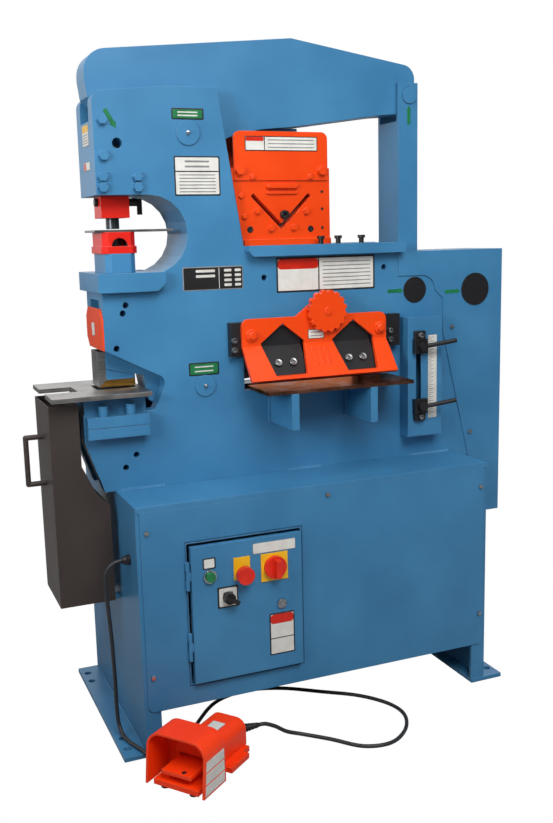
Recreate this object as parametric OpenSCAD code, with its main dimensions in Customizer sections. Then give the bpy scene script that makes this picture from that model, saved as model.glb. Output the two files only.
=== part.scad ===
// Hydraulic ironworker on a sheet-steel stand, with its foot switch.
// Millimetres, +Z up, the working front towards -Y.
// The origin is on the floor, at the middle of the anchor-bolt pattern.
// Heights on the machine itself are measured from the stand's top.
// Those of the stand and the foot switch are measured from the floor.

/* [Stand] */
// Width of the stand across its end plates
stand_w = 890; // [860:1:920]
// Depth of the stand
stand_d = 503; // [490:1:560]
// Height of the stand's top face
stand_h = 573; // [569:1:577]
// Thickness of the end plates and their flanges
end_t = 8; // [5:0.5:10]
// Thickness of the stand's top plate
top_t = 12; // [8:1:16]
// Thickness of the sheet panels and covers
sheet_t = 3; // [2:0.5:4]
// Height of the front panel's lower edge
panel_low = 103; // [90:1:115]
// Width of the leg flanges
leg_flange = 38; // [30:1:50]
// Reach of each foot plate past its end plate
foot_reach = 51; // [44:1:70]
// Thickness of the foot plates
foot_t = 10; // [8:1:12]
// Diameter of the anchor-bolt holes
anchor_d = 18; // [12:1:22]
// Spacing of the outer anchor bolts, front to back
anchor_outer = 424; // [400:1:440]
// Spacing of the inner anchor bolts, front to back
anchor_inner = 324; // [300:1:360]

/* [Frame, with heights above the stand's top] */
// Thickness over both side plates
frame_t = 160; // [156:1:164]
// Thickness of each side plate
plate_t = 38; // [34:1:40]
// Middle plane of the frame, front to back
frame_y = -7; // [-10:1:-4]
// Left edge of the nose
nose_x = -453; // [-456:1:-450]
// Height at which the nose's top corner starts
nose_high = 852; // [842:1:862]
// Height of the side plates' top edge
frame_top = 889; // [882:1:897]
// Middle of the punching throat, across
throat_x = -337; // [-340:1:-334]
// Middle of the punching throat, up
throat_z = 572; // [570:1:574]
// Radius of the punching throat
throat_r = 86; // [85:1:87]
// Lower edge of the work window
window_low = 541; // [537:1:545]
// Left edge of the work window at its lower corner
window_x = -118; // [-121:1:-115]
// Upper edge of the notching gap at the left end
notch_high = 320; // [317:1:323]
// Left edge of the lower jaw
jaw_x = -509; // [-511:1:-507]
// Top of the lower jaw
jaw_top = 179; // [177:1:181]

/* [Linkage] */
// Upper arm pivot, across
upper_x = -242; // [-244:1:-240]
// Upper arm pivot, up
upper_z = 791; // [789:1:793]
// Radius of the upper pivot pin
upper_pin_r = 27; // [22:1:30]
// Lower arm pivot, across
lower_x = -223; // [-225:1:-221]
// Lower arm pivot, up
lower_z = 225; // [223:1:227]
// Radius of the lower pivot pin
lower_pin_r = 25; // [20:1:28]
// Pin between link and upper arm, across
link_top_x = 337; // [335:1:339]
// Pin between link and upper arm, up
link_top_z = 892; // [890:1:894]
// Pin between link and lower arm, across
link_low_x = 335; // [333:1:337]
// Pin between link and lower arm, up
link_low_z = 362; // [360:1:364]
// Reach of the cylinder line past the stand's right end
cyl_out = 66; // [64:1:68]
// Pin between rod and lower arm, up
rod_pin_z = 347; // [345:1:349]
// Cylinder base pin, up
base_pin_z = -133; // [-135:1:-131]
// Gap between arms and side plates
arm_gap = 4; // [3:0.5:5]

/* [Punch station] */
// Punch line, across
punch_x = -402; // [-403:1:-401]
// Width of the ram
ram_w = 56; // [52:1:58]
// Diameter of the punch
punch_d = 30; // [24:1:34]
// Height of the die table's top above the stand's top
die_top = 490; // [488:1:492]
// Thickness of the die table
die_table_t = 42; // [38:1:46]
// Reach of the die table past each side plate
die_table_reach = 22; // [16:1:28]

/* [Notcher] */
// Height of the notcher's die block
die_block_h = 40; // [36:1:44]
// Thickness of the notcher table
notch_table_t = 10; // [9:1:11]
// Left edge of the notcher table
notch_table_x = -584; // [-587:1:-581]
// Width of the notcher table, front to back
notch_table_d = 250; // [230:1:260]
// Length of the notching tool
notch_tool_w = 84; // [80:1:85]

/* [Scrap bin] */
// Left face of the scrap bin
bin_x = -587; // [-600:1:-580]
// Width of the scrap bin
bin_w = 125; // [115:1:130]
// Depth of the scrap bin, front to back
bin_d = 176; // [165:1:200]
// Height of the scrap bin's floor from the stand's top
bin_low = -255; // [-273:1:-243]
// Height of the scrap bin's rim above the stand's top
bin_high = 207; // [197:1:211]

/* [Flat-bar shear] */
// Left end of the shear opening
shear_x = -126; // [-128:1:-124]
// Length of the shear opening
shear_w = 364; // [360:1:366]
// Height of the shear table's top above the stand's top
shear_table_top = 217; // [215:1:219]
// Reach of the shear table from the side plate
shear_table_reach = 132; // [120:1:145]
// Radius of the hold-down handwheel
wheel_r = 50; // [44:1:54]

/* [Angle shear] */
// Width of the angle-shear housing
angle_w = 222; // [214:1:230]
// Height of the angle-shear housing
angle_h = 176; // [172:1:180]
// Length of each leg of the V opening
vee_leg = 108; // [98:1:114]
// Width of the V opening
vee_w = 10; // [7:0.5:12]

/* [Cylinder cover and stroke control] */
// Reach of the cylinder cover's right face past the cylinder line
cover_out = 82; // [77:1:99]
// Top of the cylinder cover above the stand's top
cover_top = 517; // [513:1:518]
// Lower edge of the cylinder cover from the stand's top
cover_low = -176; // [-193:1:-174]
// Gap between the shear opening and the stroke control
stroke_gap = 55; // [50:1:60]
// Width of the stroke-control housing
stroke_w = 98; // [96:1:100]
// Depth of the stroke-control housing
stroke_d = 40; // [38:1:44]

/* [Controls] */
// Distance of the control door from the stand's left end
door_in = 115; // [113:1:117]
// Width of the control door
door_w = 262; // [256:1:266]
// Lower edge of the control door
door_low = 157; // [153:1:161]
// Gap between the stand's top and the control door
door_drop = 100; // [90:1:120]
// Depth of the control door's folded edge
door_t = 15; // [12:1:18]
// Diameter of the emergency-stop head
estop_d = 40; // [34:1:44]
// Diameter of the start button
start_d = 22; // [18:1:24]

/* [Foot switch] */
// Foot switch place, across
switch_x = -433; // [-440:1:-426]
// Foot switch place, front to back
switch_y = -419; // [-426:1:-414]
// Width of the foot switch's shield
shield_w = 148; // [140:1:156]
// Height of the foot switch's shield
shield_h = 114; // [108:1:122]
// Length of the foot switch's shield
shield_l = 84; // [78:1:92]

/* [Hidden] */
$fn = 48;
arc_steps = 10;
over = 5;
pin_slip = 0.05;
run_gap = 0.08;
seat_gap = 0.3;
open_link_gap = 0.6;
open_rod_gap = 1.1;

blue = "#4a86b5";
orange = "#ff4a10";
red = "#e3200c";
steel = "#8d8f92";
dark = "#2c2a2b";
black = "#1b1b1c";
bin_brown = "#3b332f";

plate_front = frame_y - frame_t / 2;
plate_back = frame_y + frame_t / 2;
inner_front = plate_front + plate_t;
inner_back = plate_back - plate_t;
arm_front = inner_front + arm_gap;
arm_back = inner_back - arm_gap;
stand_front = -stand_d / 2;
stand_right = stand_w / 2;
door_x = door_in - stand_right;
nose_low = throat_z + throat_r;
die_seat = die_top - die_table_t;

// Shapes that repeat
function arc(x, z, r, from, to) =
    [for (i = [0:arc_steps]) let (a = from + (to - from) * i / arc_steps) [x + r * cos(a), z + r * sin(a)]];

module slab(x, y, z) {
    translate([x[0], y[0], z[0]]) cube([x[1] - x[0], y[1] - y[0], z[1] - z[0]]);
}
module plate_y(y, points) {
    translate([0, y[1], 0]) rotate([90, 0, 0]) linear_extrude(y[1] - y[0]) polygon(points);
}
module plate_x(x, points) {
    translate([x[0], 0, 0]) rotate([90, 0, 90]) linear_extrude(x[1] - x[0]) polygon(points);
}
module rod_y(x, z, r, y) {
    translate([x, y[1], z]) rotate([90, 0, 0]) cylinder(r = r, h = y[1] - y[0]);
}
module rod_x(y, z, r, x) {
    translate([x[0], y, z]) rotate([0, 90, 0]) cylinder(r = r, h = x[1] - x[0]);
}
module rod_z(x, y, r, z) {
    translate([x, y, z[0]]) cylinder(r = r, h = z[1] - z[0]);
}
module on_stand() {
    translate([0, 0, stand_h]) children();
}
// A hexagon head seated on a face that looks towards -Y
module hex_head(x, z, y, size) {
    translate([x, y, z]) rotate([90, 0, 0]) cylinder(d = size, h = size * head_share, $fn = 6);
}
head_share = 0.45;

// Stand
foot_edge = stand_right + foot_reach;
anchor_x = foot_edge - foot_reach / 3;
shelf_t = 6;
shelf_inset = 50;
shelf_low = panel_low + sheet_t;
line_hole_r = 14;
line_up = 30;
line_z = base_pin_z + line_up;
bar_t = 10;
bar_w = 20;
bar_inset = 35;
module end_channel(side) {
    mirror([side < 0 ? 1 : 0, 0, 0]) {
        y_edge = stand_d / 2 - sheet_t;
        difference() {
            slab([stand_right - end_t, stand_right], [-y_edge, y_edge], [foot_t, stand_h - top_t]);
            if (side > 0) rod_x(frame_y, stand_h + line_z, line_hole_r,
                [stand_right - end_t - over, stand_right + over]);
        }
        for (y = [-y_edge, y_edge - end_t])
            slab([stand_right - leg_flange, stand_right - end_t], [y, y + end_t], [foot_t, stand_h - top_t]);
        difference() {
            slab([stand_right - leg_flange, foot_edge], [stand_front, -stand_front], [0, foot_t]);
            for (y = [anchor_outer / 2, anchor_inner / 2, -anchor_inner / 2, -anchor_outer / 2])
                rod_z(anchor_x, y, anchor_d / 2, [-over, foot_t + over]);
        }
    }
}
module stand_frame() {
    color(blue) {
        for (side = [-1, 1]) end_channel(side);
        slab([end_t - stand_right, stand_right - end_t], [stand_front + shelf_inset, -stand_front - shelf_inset],
            [shelf_low, shelf_low + shelf_t]);
        for (y = [frame_y - bin_d / 2 + bar_inset, frame_y + bin_d / 2 - bar_inset - bar_w])
            slab([bin_x + bar_inset, -stand_right], [y, y + bar_w],
                [stand_h + bin_low - bar_t, stand_h + bin_low]);
    }
}
module stand_top_plate() {
    color(blue) slab([-stand_right, stand_right], [stand_front, -stand_front], [stand_h - top_t, stand_h]);
}
panel_inset = 9;
panel_r = 15;
opening_gap = 10;
module panel_outline() {
    x = stand_right - panel_inset;
    polygon(concat(arc(panel_r - x, panel_low + panel_r, panel_r, 180, 270),
        arc(x - panel_r, panel_low + panel_r, panel_r, 270, 360),
        [[x, stand_h - top_t], [-x, stand_h - top_t]]));
}
vent_w = 120;
vent_h = 8;
vent_pitch = 26;
vent_rows = 6;
module stand_panels() {
    color(blue) {
        difference() {
            translate([0, stand_front + sheet_t, 0]) rotate([90, 0, 0]) linear_extrude(sheet_t) panel_outline();
            slab([door_x - opening_gap, door_x + door_w + opening_gap], [stand_front - over, stand_front + over],
                [door_low - opening_gap, door_low + door_h + opening_gap]);
        }
        difference() {
            translate([0, -stand_front, 0]) rotate([90, 0, 0]) linear_extrude(sheet_t) panel_outline();
            for (row = [1:vent_rows], x = [-vent_w * 2, vent_w])
                slab([x, x + vent_w], [-stand_front - sheet_t - over, -stand_front + over],
                    [stand_h / 2 + row * vent_pitch, stand_h / 2 + row * vent_pitch + vent_h]);
        }
    }
}

// Welded side plates, with the guide pocket, throat, notch gap, work window and the cylinder's tail
guide_h = 51;
ram_gap = 1;
guide_top = nose_low + guide_h;
guide_right = punch_x + ram_w / 2 + ram_gap;
nose_r = 24;
crown_w = 168;
window_lean = 53;
crown_x = nose_x + crown_w;
window_top_x = window_x - window_lean;
notch_tip_x = -340;
notch_tip_z = 238;
notch_r = 21;
jaw_h = 62;
jaw_low = jaw_top - jaw_h;
notch_table_top = jaw_top + die_block_h + notch_table_t;
jaw_foot_x = -469;
jaw_right_x = -345;
step_x = 292;
step_z = 461;
shoulder_r = 41;
shoulder_x = 397;
stroke_x = shear_x + shear_w + stroke_gap;
edge_gap = 29;
edge_x = stroke_x + stroke_w + edge_gap;
edge_z = 317;
edge_step = 18;
cyl_gap = 91;
cyl_x = max(stand_right + cyl_out, edge_x + cyl_gap);
cover_right = cyl_x + cover_out;
tail_in = 11;
tail_x = cyl_x - tail_in;
tail_z = -17;
tail_out = 38;
tail_right = cyl_x + tail_out;
tail_low = -171;
cover_lap = 4;
ledge_t = 25;
ledge_reach = 26;
ledge_lap = 4;
ledge_left_x = window_x + ledge_lap;
ledge_right_x = step_x + ledge_lap;
ledge_cut = 12;
slot_sill = 12;
shear_slot_low = shear_table_top - slot_sill;
shear_slot_high = 299;
shear_exit_high = 332;
plug_low_r = 28;
plug_x = 335;
plug_z = 421.5;
bolt_hole_r = 7;
plate_hole_shares = [[0.886, 0.471], [0.902, 0.451], [0.941, 0.364], [0.868, 0.089], [0.925, 0.058],
    [0.152, 0.525], [-0.548, 0.541]];
grease_hole_r = 11;
grease_z = 767;
plate_outline = concat(
    [[jaw_foot_x, 0], [jaw_x, jaw_low], [jaw_x, jaw_top], [jaw_right_x, jaw_top]],
    arc(notch_tip_x, notch_tip_z, notch_r, -22, 63),
    [[nose_x, notch_high], [nose_x, die_seat], [throat_x, die_seat]],
    arc(throat_x, throat_z, throat_r, -90, 90),
    [[guide_right, nose_low], [guide_right, guide_top], [nose_x, guide_top]],
    arc(nose_x + nose_r, nose_high, nose_r, 180, 90),
    [[crown_x, frame_top], [window_top_x, frame_top], [window_x, window_low], [step_x, window_low],
        [step_x, step_z]],
    arc(shoulder_x - shoulder_r, step_z - shoulder_r, shoulder_r, 90, 0),
    [[edge_x, step_z - shoulder_r - edge_step], [edge_x, edge_z], [tail_x, tail_z], [tail_right, base_pin_z],
        [tail_right, tail_low], [stand_right, tail_low], [stand_right, 0]]);
module ledge(y, out) {
    z = window_low - ledge_t;
    mirror([0, out > 0 ? 1 : 0, 0]) translate([0, out > 0 ? -y[1] : y[0], 0]) {
        plate_y([0, y[1] - y[0]], [[ledge_left_x + ledge_cut, z], [ledge_right_x, z],
            [ledge_right_x, window_low], [ledge_left_x, window_low], [ledge_left_x, z + ledge_cut]]);
    }
}
module side_plate(y, exit_high) {
    difference() {
        plate_y(y, plate_outline);
        rod_y(upper_x, upper_z, upper_pin_r + pin_slip, [y[0] - over, y[1] + over]);
        rod_y(lower_x, lower_z, lower_pin_r + pin_slip, [y[0] - over, y[1] + over]);
        rod_y(cyl_x, base_pin_z, rod_pin_r + pin_slip, [y[0] - over, y[1] + over]);
        slab([shear_x, shear_x + shear_w], [y[0] - over, y[1] + over], [shear_slot_low, exit_high]);
    }
}
module front_side_plate() {
    color(blue) on_stand() {
        difference() {
            side_plate([plate_front, inner_front], shear_slot_high);
            for (p = plate_hole_shares)
                rod_y(p[0] * nose_x, p[1] * frame_top, bolt_hole_r, [plate_front - over, inner_front + over]);
            rod_y(punch_x, grease_z, grease_hole_r, [plate_front - over, inner_front + over]);
            rod_y(plug_x, plug_z, plug_low_r, [plate_front - over, inner_front + over]);
        }
        ledge([plate_front - ledge_reach, plate_front], 0);
    }
}
module rear_side_plate() {
    color(blue) on_stand() {
        side_plate([inner_back, plate_back], shear_exit_high);
        ledge([plate_back, plate_back + ledge_reach], 1);
    }
}
liner_t = 14;
cap_t = 12;
cap_top = 815;
guide_bar_w = 30;
guide_bar_top = 727;
seat_block_w = 28;
seat_block_h = 18;
sill_w = 200;
sill_t = 18;
jaw_block_x = -455;
jaw_block_w = 100;
jaw_block_h = 60;
foot_block_x = 100;
foot_block_w = 110;
foot_block_h = 30;
module frame_spacers() {
    y = [inner_front, inner_back];
    color(blue) on_stand() {
        plate_y(y, concat(arc(throat_x, throat_z, throat_r, -90, 90),
            arc(throat_x, throat_z, throat_r + liner_t, 90, -90)));
        slab([nose_x, nose_x + cap_t], y, [guide_top, cap_top]);
        slab([guide_right, guide_right + guide_bar_w], y, [nose_low, guide_bar_top]);
        slab([nose_x, nose_x + seat_block_w], y, [die_seat - seat_block_h, die_seat]);
        slab([-sill_w / 2, sill_w / 2], y, [window_low - sill_t, window_low]);
        slab([jaw_block_x, jaw_block_x + jaw_block_w], y, [0, jaw_block_h]);
        slab([foot_block_x, foot_block_x + foot_block_w], y, [0, foot_block_h]);
    }
}
module ram_guide_block() {
    color(blue) on_stand() difference() {
        slab([nose_x, guide_right], [plate_front, plate_back], [nose_low, guide_top]);
        slab([punch_x - ram_w / 2 - ram_gap, guide_right + over],
            [arm_front - ram_gap, arm_back + ram_gap], [nose_low - over, guide_top + over]);
    }
}
pin_end = 3;
rod_pin_r = 17;
module pivot_pins() {
    y = [plate_front - pin_end, plate_back + pin_end];
    color(blue) on_stand() {
        rod_y(upper_x, upper_z, upper_pin_r, y);
        rod_y(lower_x, lower_z, lower_pin_r, y);
        rod_y(cyl_x, base_pin_z, rod_pin_r, [plate_front, plate_back]);
    }
}
bolt_size = 22;
screw_size = 11;
nose_bolt_shares = [[0.955, 0.917], [0.956, 0.833]];
guide_bolt_in = 15;
guide_bolt_out = 12;
guide_bolt_low = 16;
guide_bolt_pitch = 23;
guide_bolt_x = [nose_x + guide_bolt_in, guide_right + guide_bolt_out];
guide_bolt_z = [nose_low + guide_bolt_low, nose_low + guide_bolt_low + guide_bolt_pitch];
panel_screw_shares = [[-0.475, 0.9], [-0.475, 0.324], [0.478, 0.9], [0.478, 0.324], [0.008, 0.957]];
cover_screw_shares = [[0.746, 0.365], [0.842, 0.051]];
module fasteners() {
    color(blue) on_stand() {
        for (p = nose_bolt_shares) hex_head(p[0] * nose_x, p[1] * frame_top, plate_front, bolt_size);
        for (x = guide_bolt_x, z = guide_bolt_z) hex_head(x, z, plate_front, bolt_size);
        for (x = [-notch_bolt_pitch / 2, notch_bolt_pitch / 2])
            rod_z(notch_block_mid + x, clamp_mid_y, bolt_size / 2, [clamp_top, jaw_top + bolt_size]);
    }
    color(steel) {
        for (p = panel_screw_shares) hex_head(p[0] * stand_w, p[1] * stand_h, stand_front, screw_size);
        on_stand() for (p = cover_screw_shares)
            hex_head(p[0] * cover_right, p[1] * frame_top, plate_front - sheet_t, screw_size);
    }
}

// Punch station
die_table_right = -312;
die_table_cut = 18;
die_table_nose = 11;
slug_r = 20;
die_r = 28;
die_h = 53;
die_seat_depth = 22;
holder_w = 68;
holder_d = 130;
holder_h = 42;
holder_cut = 12;
guard_w = 74;
guard_d = 118;
guard_h = 47;
guard_lip = 16;
guard_wall = 4;
guard_step = 3;
guard_window_r = 18;
stripper_w = 64;
stripper_d = 68;
stripper_h = 48;
punch_gap = 4;
gauge_t = 5;
punch_clearance = 2;
punch_low = die_top + holder_h + guard_h + gauge_t + punch_clearance;
module die_table() {
    x = nose_x - die_table_nose;
    color(blue) on_stand() difference() {
        plate_y([plate_front - die_table_reach, plate_back + die_table_reach],
            [[x, die_seat], [die_table_right - die_table_cut, die_seat],
                [die_table_right, die_seat + die_table_cut],
                [die_table_right, die_top], [x, die_top]]);
        slab([throat_x, die_table_right + over], [plate_front, plate_back], [die_seat - over, die_top + over]);
        rod_z(punch_x, frame_y, slug_r, [die_seat - over, die_top + over]);
    }
}
module cut_corner_block(w, d, cut) {
    polygon([[-w / 2 + cut, -d / 2], [w / 2 - cut, -d / 2], [w / 2, -d / 2 + cut], [w / 2, d / 2 - cut],
        [w / 2 - cut, d / 2], [-w / 2 + cut, d / 2], [-w / 2, d / 2 - cut], [-w / 2, -d / 2 + cut]]);
}
module die_holder() {
    color(blue) on_stand() difference() {
        translate([punch_x, frame_y, die_top]) linear_extrude(holder_h)
            cut_corner_block(holder_w, holder_d, holder_cut);
        rod_z(punch_x, frame_y, die_r + pin_slip,
            [die_top + holder_h - die_seat_depth, die_top + holder_h + over]);
        rod_z(punch_x, frame_y, slug_r, [die_top - over, die_top + holder_h]);
    }
}
punch_clear = 0.4;
module die() {
    z = die_top + holder_h - die_seat_depth;
    color(steel) on_stand() difference() {
        rod_z(punch_x, frame_y, die_r, [z, z + die_h]);
        rod_z(punch_x, frame_y, punch_d / 2 + punch_clear, [z - over, z + die_h + over]);
    }
}
module punch_guards() {
    z = die_top + holder_h;
    top = nose_low;
    color(red) on_stand() {
        difference() {
            union() {
                translate([punch_x, frame_y, z]) linear_extrude(guard_lip)
                    cut_corner_block(guard_w + guard_step * 2, guard_d + guard_step * 2, holder_cut);
                translate([punch_x, frame_y, z + guard_lip]) linear_extrude(guard_h - guard_lip)
                    cut_corner_block(guard_w, guard_d, holder_cut);
            }
            translate([punch_x, frame_y, z - over]) linear_extrude(guard_h - guard_wall + over)
                cut_corner_block(guard_w - guard_wall * 2, guard_d - guard_wall * 2, holder_cut);
            rod_z(punch_x, frame_y, punch_d / 2 + punch_gap, [z, z + guard_h + over]);
            intersection() {
                rod_y(punch_x, z + guard_lip, guard_window_r, [frame_y - guard_d, frame_y + guard_d]);
                slab([punch_x - guard_w, punch_x + guard_w], [frame_y - guard_d, frame_y + guard_d],
                    [z + guard_lip, z + guard_h - guard_wall]);
            }
        }
        difference() {
            slab([punch_x - stripper_w / 2, punch_x + stripper_w / 2],
                [frame_y - stripper_d / 2, frame_y + stripper_d / 2], [top - stripper_h, top]);
            slab([punch_x - stripper_w / 2 + guard_wall, punch_x + stripper_w / 2 - guard_wall],
                [frame_y - stripper_d / 2 + guard_wall, frame_y + stripper_d / 2 - guard_wall],
                [top - stripper_h + guard_wall, top + over]);
            rod_z(punch_x, frame_y, punch_holder_r + punch_gap / 2, [top - stripper_h - over, top]);
        }
    }
}
gauge_left = -455;
gauge_right = -276;
gauge_d = 106;
module gauge_plate() {
    z = die_top + holder_h + guard_h;
    color(steel) on_stand() difference() {
        slab([gauge_left, gauge_right], [frame_y - gauge_d / 2, frame_y + gauge_d / 2], [z, z + gauge_t]);
        rod_z(punch_x, frame_y, punch_d / 2 + punch_gap, [z - over, z + gauge_t + over]);
    }
}
knob_r = 6;
knob_head_r = 9;
knob_h = 19;
knob_head_h = 7;
knob_bar_l = 26;
knob_bar_h = 41;
knob_drop = 13;
knob_shares = [0.456, 0.566, 0.717];
module clamp_knobs() {
    y = plate_front - ledge_reach / 2;
    left = punch_x - stripper_w / 2;
    right = punch_x + stripper_w / 2;
    color(black) on_stand() {
        for (s = knob_shares) {
            x = ledge_left_x + (ledge_right_x - ledge_left_x) * s;
            rod_z(x, y, knob_r, [window_low, window_low + knob_h - knob_head_h]);
            rod_z(x, y, knob_head_r, [window_low + knob_h - knob_head_h, window_low + knob_h]);
        }
        rod_x(frame_y, nose_low - knob_drop, knob_head_r, [left - knob_head_h, left]);
        rod_x(frame_y, nose_low - knob_drop, knob_head_r, [right, right + knob_bar_l]);
        rod_z(right + knob_bar_l + knob_r, frame_y, knob_r, [nose_low - knob_bar_h, nose_low - knob_r]);
    }
}

// Notcher
notch_guard_t = 4;
notch_guard_top = 412;
notch_guard_cut = 22;
notch_table_right = -362;
notch_slot_w = 78;
notch_slot_l = 73;
notch_tool_x = -460;
notch_bar_t = 17;
notch_tool_d = 66;
notch_gap = 6;
notch_play = 3;
block_inset = 2;
block_left = jaw_x + block_inset;
block_right = -367;
notch_block_mid = (block_left + block_right) / 2;
notch_bolt_pitch = 62;
clamp_d = 33;
clamp_t = 24;
clamp_gap = 1;
clamp_low = jaw_top - clamp_t * 2 - clamp_gap * 2;
clamp_top = clamp_low + clamp_t * 2 + clamp_gap;
clamp_mid_y = plate_front - clamp_d / 2;
module notcher_guard() {
    color(orange) on_stand() plate_x([nose_x - notch_guard_t, nose_x], [[plate_front, notch_high],
        [plate_back - notch_guard_cut, notch_high], [plate_back, notch_high + notch_guard_cut],
        [plate_back, notch_guard_top - notch_guard_cut], [plate_back - notch_guard_cut, notch_guard_top],
        [plate_front + notch_guard_cut, notch_guard_top], [plate_front, notch_guard_top - notch_guard_cut]]);
}
module notch_die_hole() {
    slab([notch_tool_x - notch_gap, notch_tool_x + notch_tool_w + notch_play],
        [frame_y - notch_tool_d / 2 - notch_play, frame_y + notch_tool_d / 2 + notch_play],
        [jaw_top - over, notch_table_top + over]);
}
module notcher_table() {
    z = [notch_table_top - notch_table_t, notch_table_top];
    color(steel) on_stand() difference() {
        slab([notch_table_x, notch_table_right],
            [frame_y - notch_table_d / 2, frame_y + notch_table_d / 2], z);
        slab([notch_table_x - over, notch_table_x + notch_slot_l],
            [frame_y - notch_slot_w / 2, frame_y + notch_slot_w / 2], [z[0] - over, z[1] + over]);
        notch_die_hole();
    }
}
module notcher_die_block() {
    color(blue) on_stand() {
        difference() {
            slab([block_left, block_right], [plate_front, plate_back],
                [jaw_top, notch_table_top - notch_table_t]);
            notch_die_hole();
        }
        for (y = [plate_front - clamp_d, plate_back], z = [clamp_low, clamp_top - clamp_t])
            slab([block_left, block_right], [y, y + clamp_d], [z, z + clamp_t]);
    }
}
bin_wall = 2;
bin_cut_z = -1;
bin_mouth = 66;
bin_cut_x = bin_x + bin_mouth;
bin_cut_h = 68;
bin_cut_w = 28;
handle_r = 6;
handle_out = 40;
handle_low = 19;
handle_high = 127;
bin_outline = [[bin_x, bin_low], [bin_x + bin_w, bin_low], [bin_x + bin_w, bin_cut_z - bin_cut_w],
    [bin_x + bin_w - bin_cut_w, bin_cut_z], [bin_cut_x, bin_cut_z + bin_cut_h], [bin_cut_x, bin_high],
    [bin_x, bin_high]];
bin_inside = [[bin_x + bin_wall, bin_low + bin_wall], [bin_x + bin_w - bin_wall, bin_low + bin_wall],
    [bin_x + bin_w - bin_wall, bin_cut_z - bin_cut_w - bin_wall],
    [bin_x + bin_w - bin_cut_w - bin_wall, bin_cut_z - bin_wall],
    [bin_cut_x - bin_wall, bin_cut_z + bin_cut_h - bin_wall], [bin_cut_x - bin_wall, bin_high + over],
    [bin_x + bin_wall, bin_high + over]];
module scrap_bin() {
    y = [frame_y - bin_d / 2, frame_y + bin_d / 2];
    grip_x = bin_x - handle_out;
    color(bin_brown) on_stand() {
        difference() {
            plate_y(y, bin_outline);
            plate_y([y[0] + bin_wall, y[1] - bin_wall], bin_inside);
        }
        for (z = [handle_low, handle_high]) rod_x(frame_y, z, handle_r, [grip_x, bin_x]);
        rod_z(grip_x, frame_y, handle_r, [handle_low, handle_high]);
        for (z = [handle_low, handle_high]) translate([grip_x, frame_y, z]) sphere(r = handle_r);
    }
}

// Angle shear
angle_x = -angle_w / 2;
angle_plate_t = 25;
angle_front = arm_front - angle_plate_t;
angle_face_gap = 0.3;
angle_back_t = 20;
angle_lean = window_lean * angle_h / (frame_top - window_low);
angle_flange_out = 6;
angle_flange_h = 14;
angle_outline = [[angle_x, window_low], [angle_x + angle_w, window_low],
    [angle_x + angle_w, window_low + angle_h],
    [angle_x - angle_lean, window_low + angle_h]];
angle_guard_t = 4;
angle_guard_left = -131;
angle_guard_right = 105;
angle_guard_low = 689;
angle_guard_top = 799;
angle_guard_r = 16;
vee_x = -14;
vee_z = 577;
blade_t = 22;
blade_low = 567;
blade_high = 767;
blade_w = 190;
module vee_cut(y) {
    translate([vee_x, y[1], vee_z]) rotate([90, 0, 0]) linear_extrude(y[1] - y[0]) {
        rotate(45) square([vee_leg, vee_w]);
        rotate(45) square([vee_w, vee_leg]);
    }
}
angle_back = arm_back + arm_gap + angle_back_t;
angle_guard_outline = concat([[angle_guard_left, angle_guard_low], [angle_guard_right, angle_guard_low]],
    arc(angle_guard_right - angle_guard_r, angle_guard_top - angle_guard_r, angle_guard_r, 0, 90),
    arc(angle_guard_left + angle_guard_r, angle_guard_top - angle_guard_r, angle_guard_r, 90, 180));
module angle_shear_housing() {
    z = [window_low, window_low + angle_h];
    color(orange) on_stand() {
        difference() {
            union() {
                plate_y([angle_front, arm_front - angle_face_gap], angle_outline);
                plate_y([arm_back + arm_gap, angle_back], angle_outline);
                slab([angle_x, angle_x + angle_w], [angle_front - angle_flange_out, angle_front],
                    [window_low, window_low + angle_flange_h]);
            }
            vee_cut([angle_front - over, angle_back + over]);
        }
        plate_y([angle_front - angle_guard_t, angle_front], angle_guard_outline);
        plate_y([angle_back, angle_back + angle_guard_t], angle_guard_outline);
        for (s = angle_bolt_shares)
            hex_head(angle_x + angle_w * s[0], z[0] + angle_h * s[1], angle_front, bolt_size * small_bolt_share);
        for (x = angle_guard_bolt_shares)
            hex_head(angle_x + angle_w * x, angle_guard_low + bolt_size, angle_front - angle_guard_t, bolt_size);
    }
}
angle_bolt_shares = [[0.16, 0.45], [0.72, 0.44], [0.31, 0.22], [0.57, 0.23]];
angle_guard_bolt_shares = [-0.03, 0.9];
small_bolt_share = 0.7;
module angle_shear_blade() {
    y = [arm_front, arm_front + blade_t];
    color(steel) on_stand() difference() {
        slab([-blade_w / 2, blade_w / 2], y, [blade_low, blade_high]);
        vee_cut([y[0] - over, y[1] + over]);
    }
}

// Flat-bar shear
blade_gap = 0.3;
upper_blade_low_left = 233;
upper_blade_low_right = 261;
lower_blade_t = 22;
lower_blade_h = 46;
blade_proud = 1.6;
blade_inset = 8;
module shear_upper_blade() {
    color(steel) on_stand() plate_y([plate_front + blade_proud, arm_front - blade_proud - blade_gap], [
        [shear_x + seat_gap, upper_blade_low_left], [shear_x + shear_w - seat_gap, upper_blade_low_right],
        [shear_x + shear_w - seat_gap, shear_slot_high], [shear_x + seat_gap, shear_slot_high]]);
}
blade_drop = 2;
lower_blade_top = shear_table_top - blade_drop;
module shear_lower_blade() {
    color(steel) on_stand() slab([shear_x + blade_inset, shear_x + shear_w - blade_inset],
        [arm_front - blade_proud, arm_front + lower_blade_t], [lower_blade_top - lower_blade_h, lower_blade_top]);
}
shear_table_t = 8;
shear_table_left = -118;
shear_table_right = 256;
module shear_table() {
    color(steel) on_stand() slab([shear_table_left, shear_table_right],
        [plate_front - shear_table_reach, plate_front],
        [shear_table_top - shear_table_t, shear_table_top]);
}
bracket_h = 84;
bracket_t = 6;
bracket_flange = 18;
bracket_shares = [0.15, 0.69];
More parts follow.
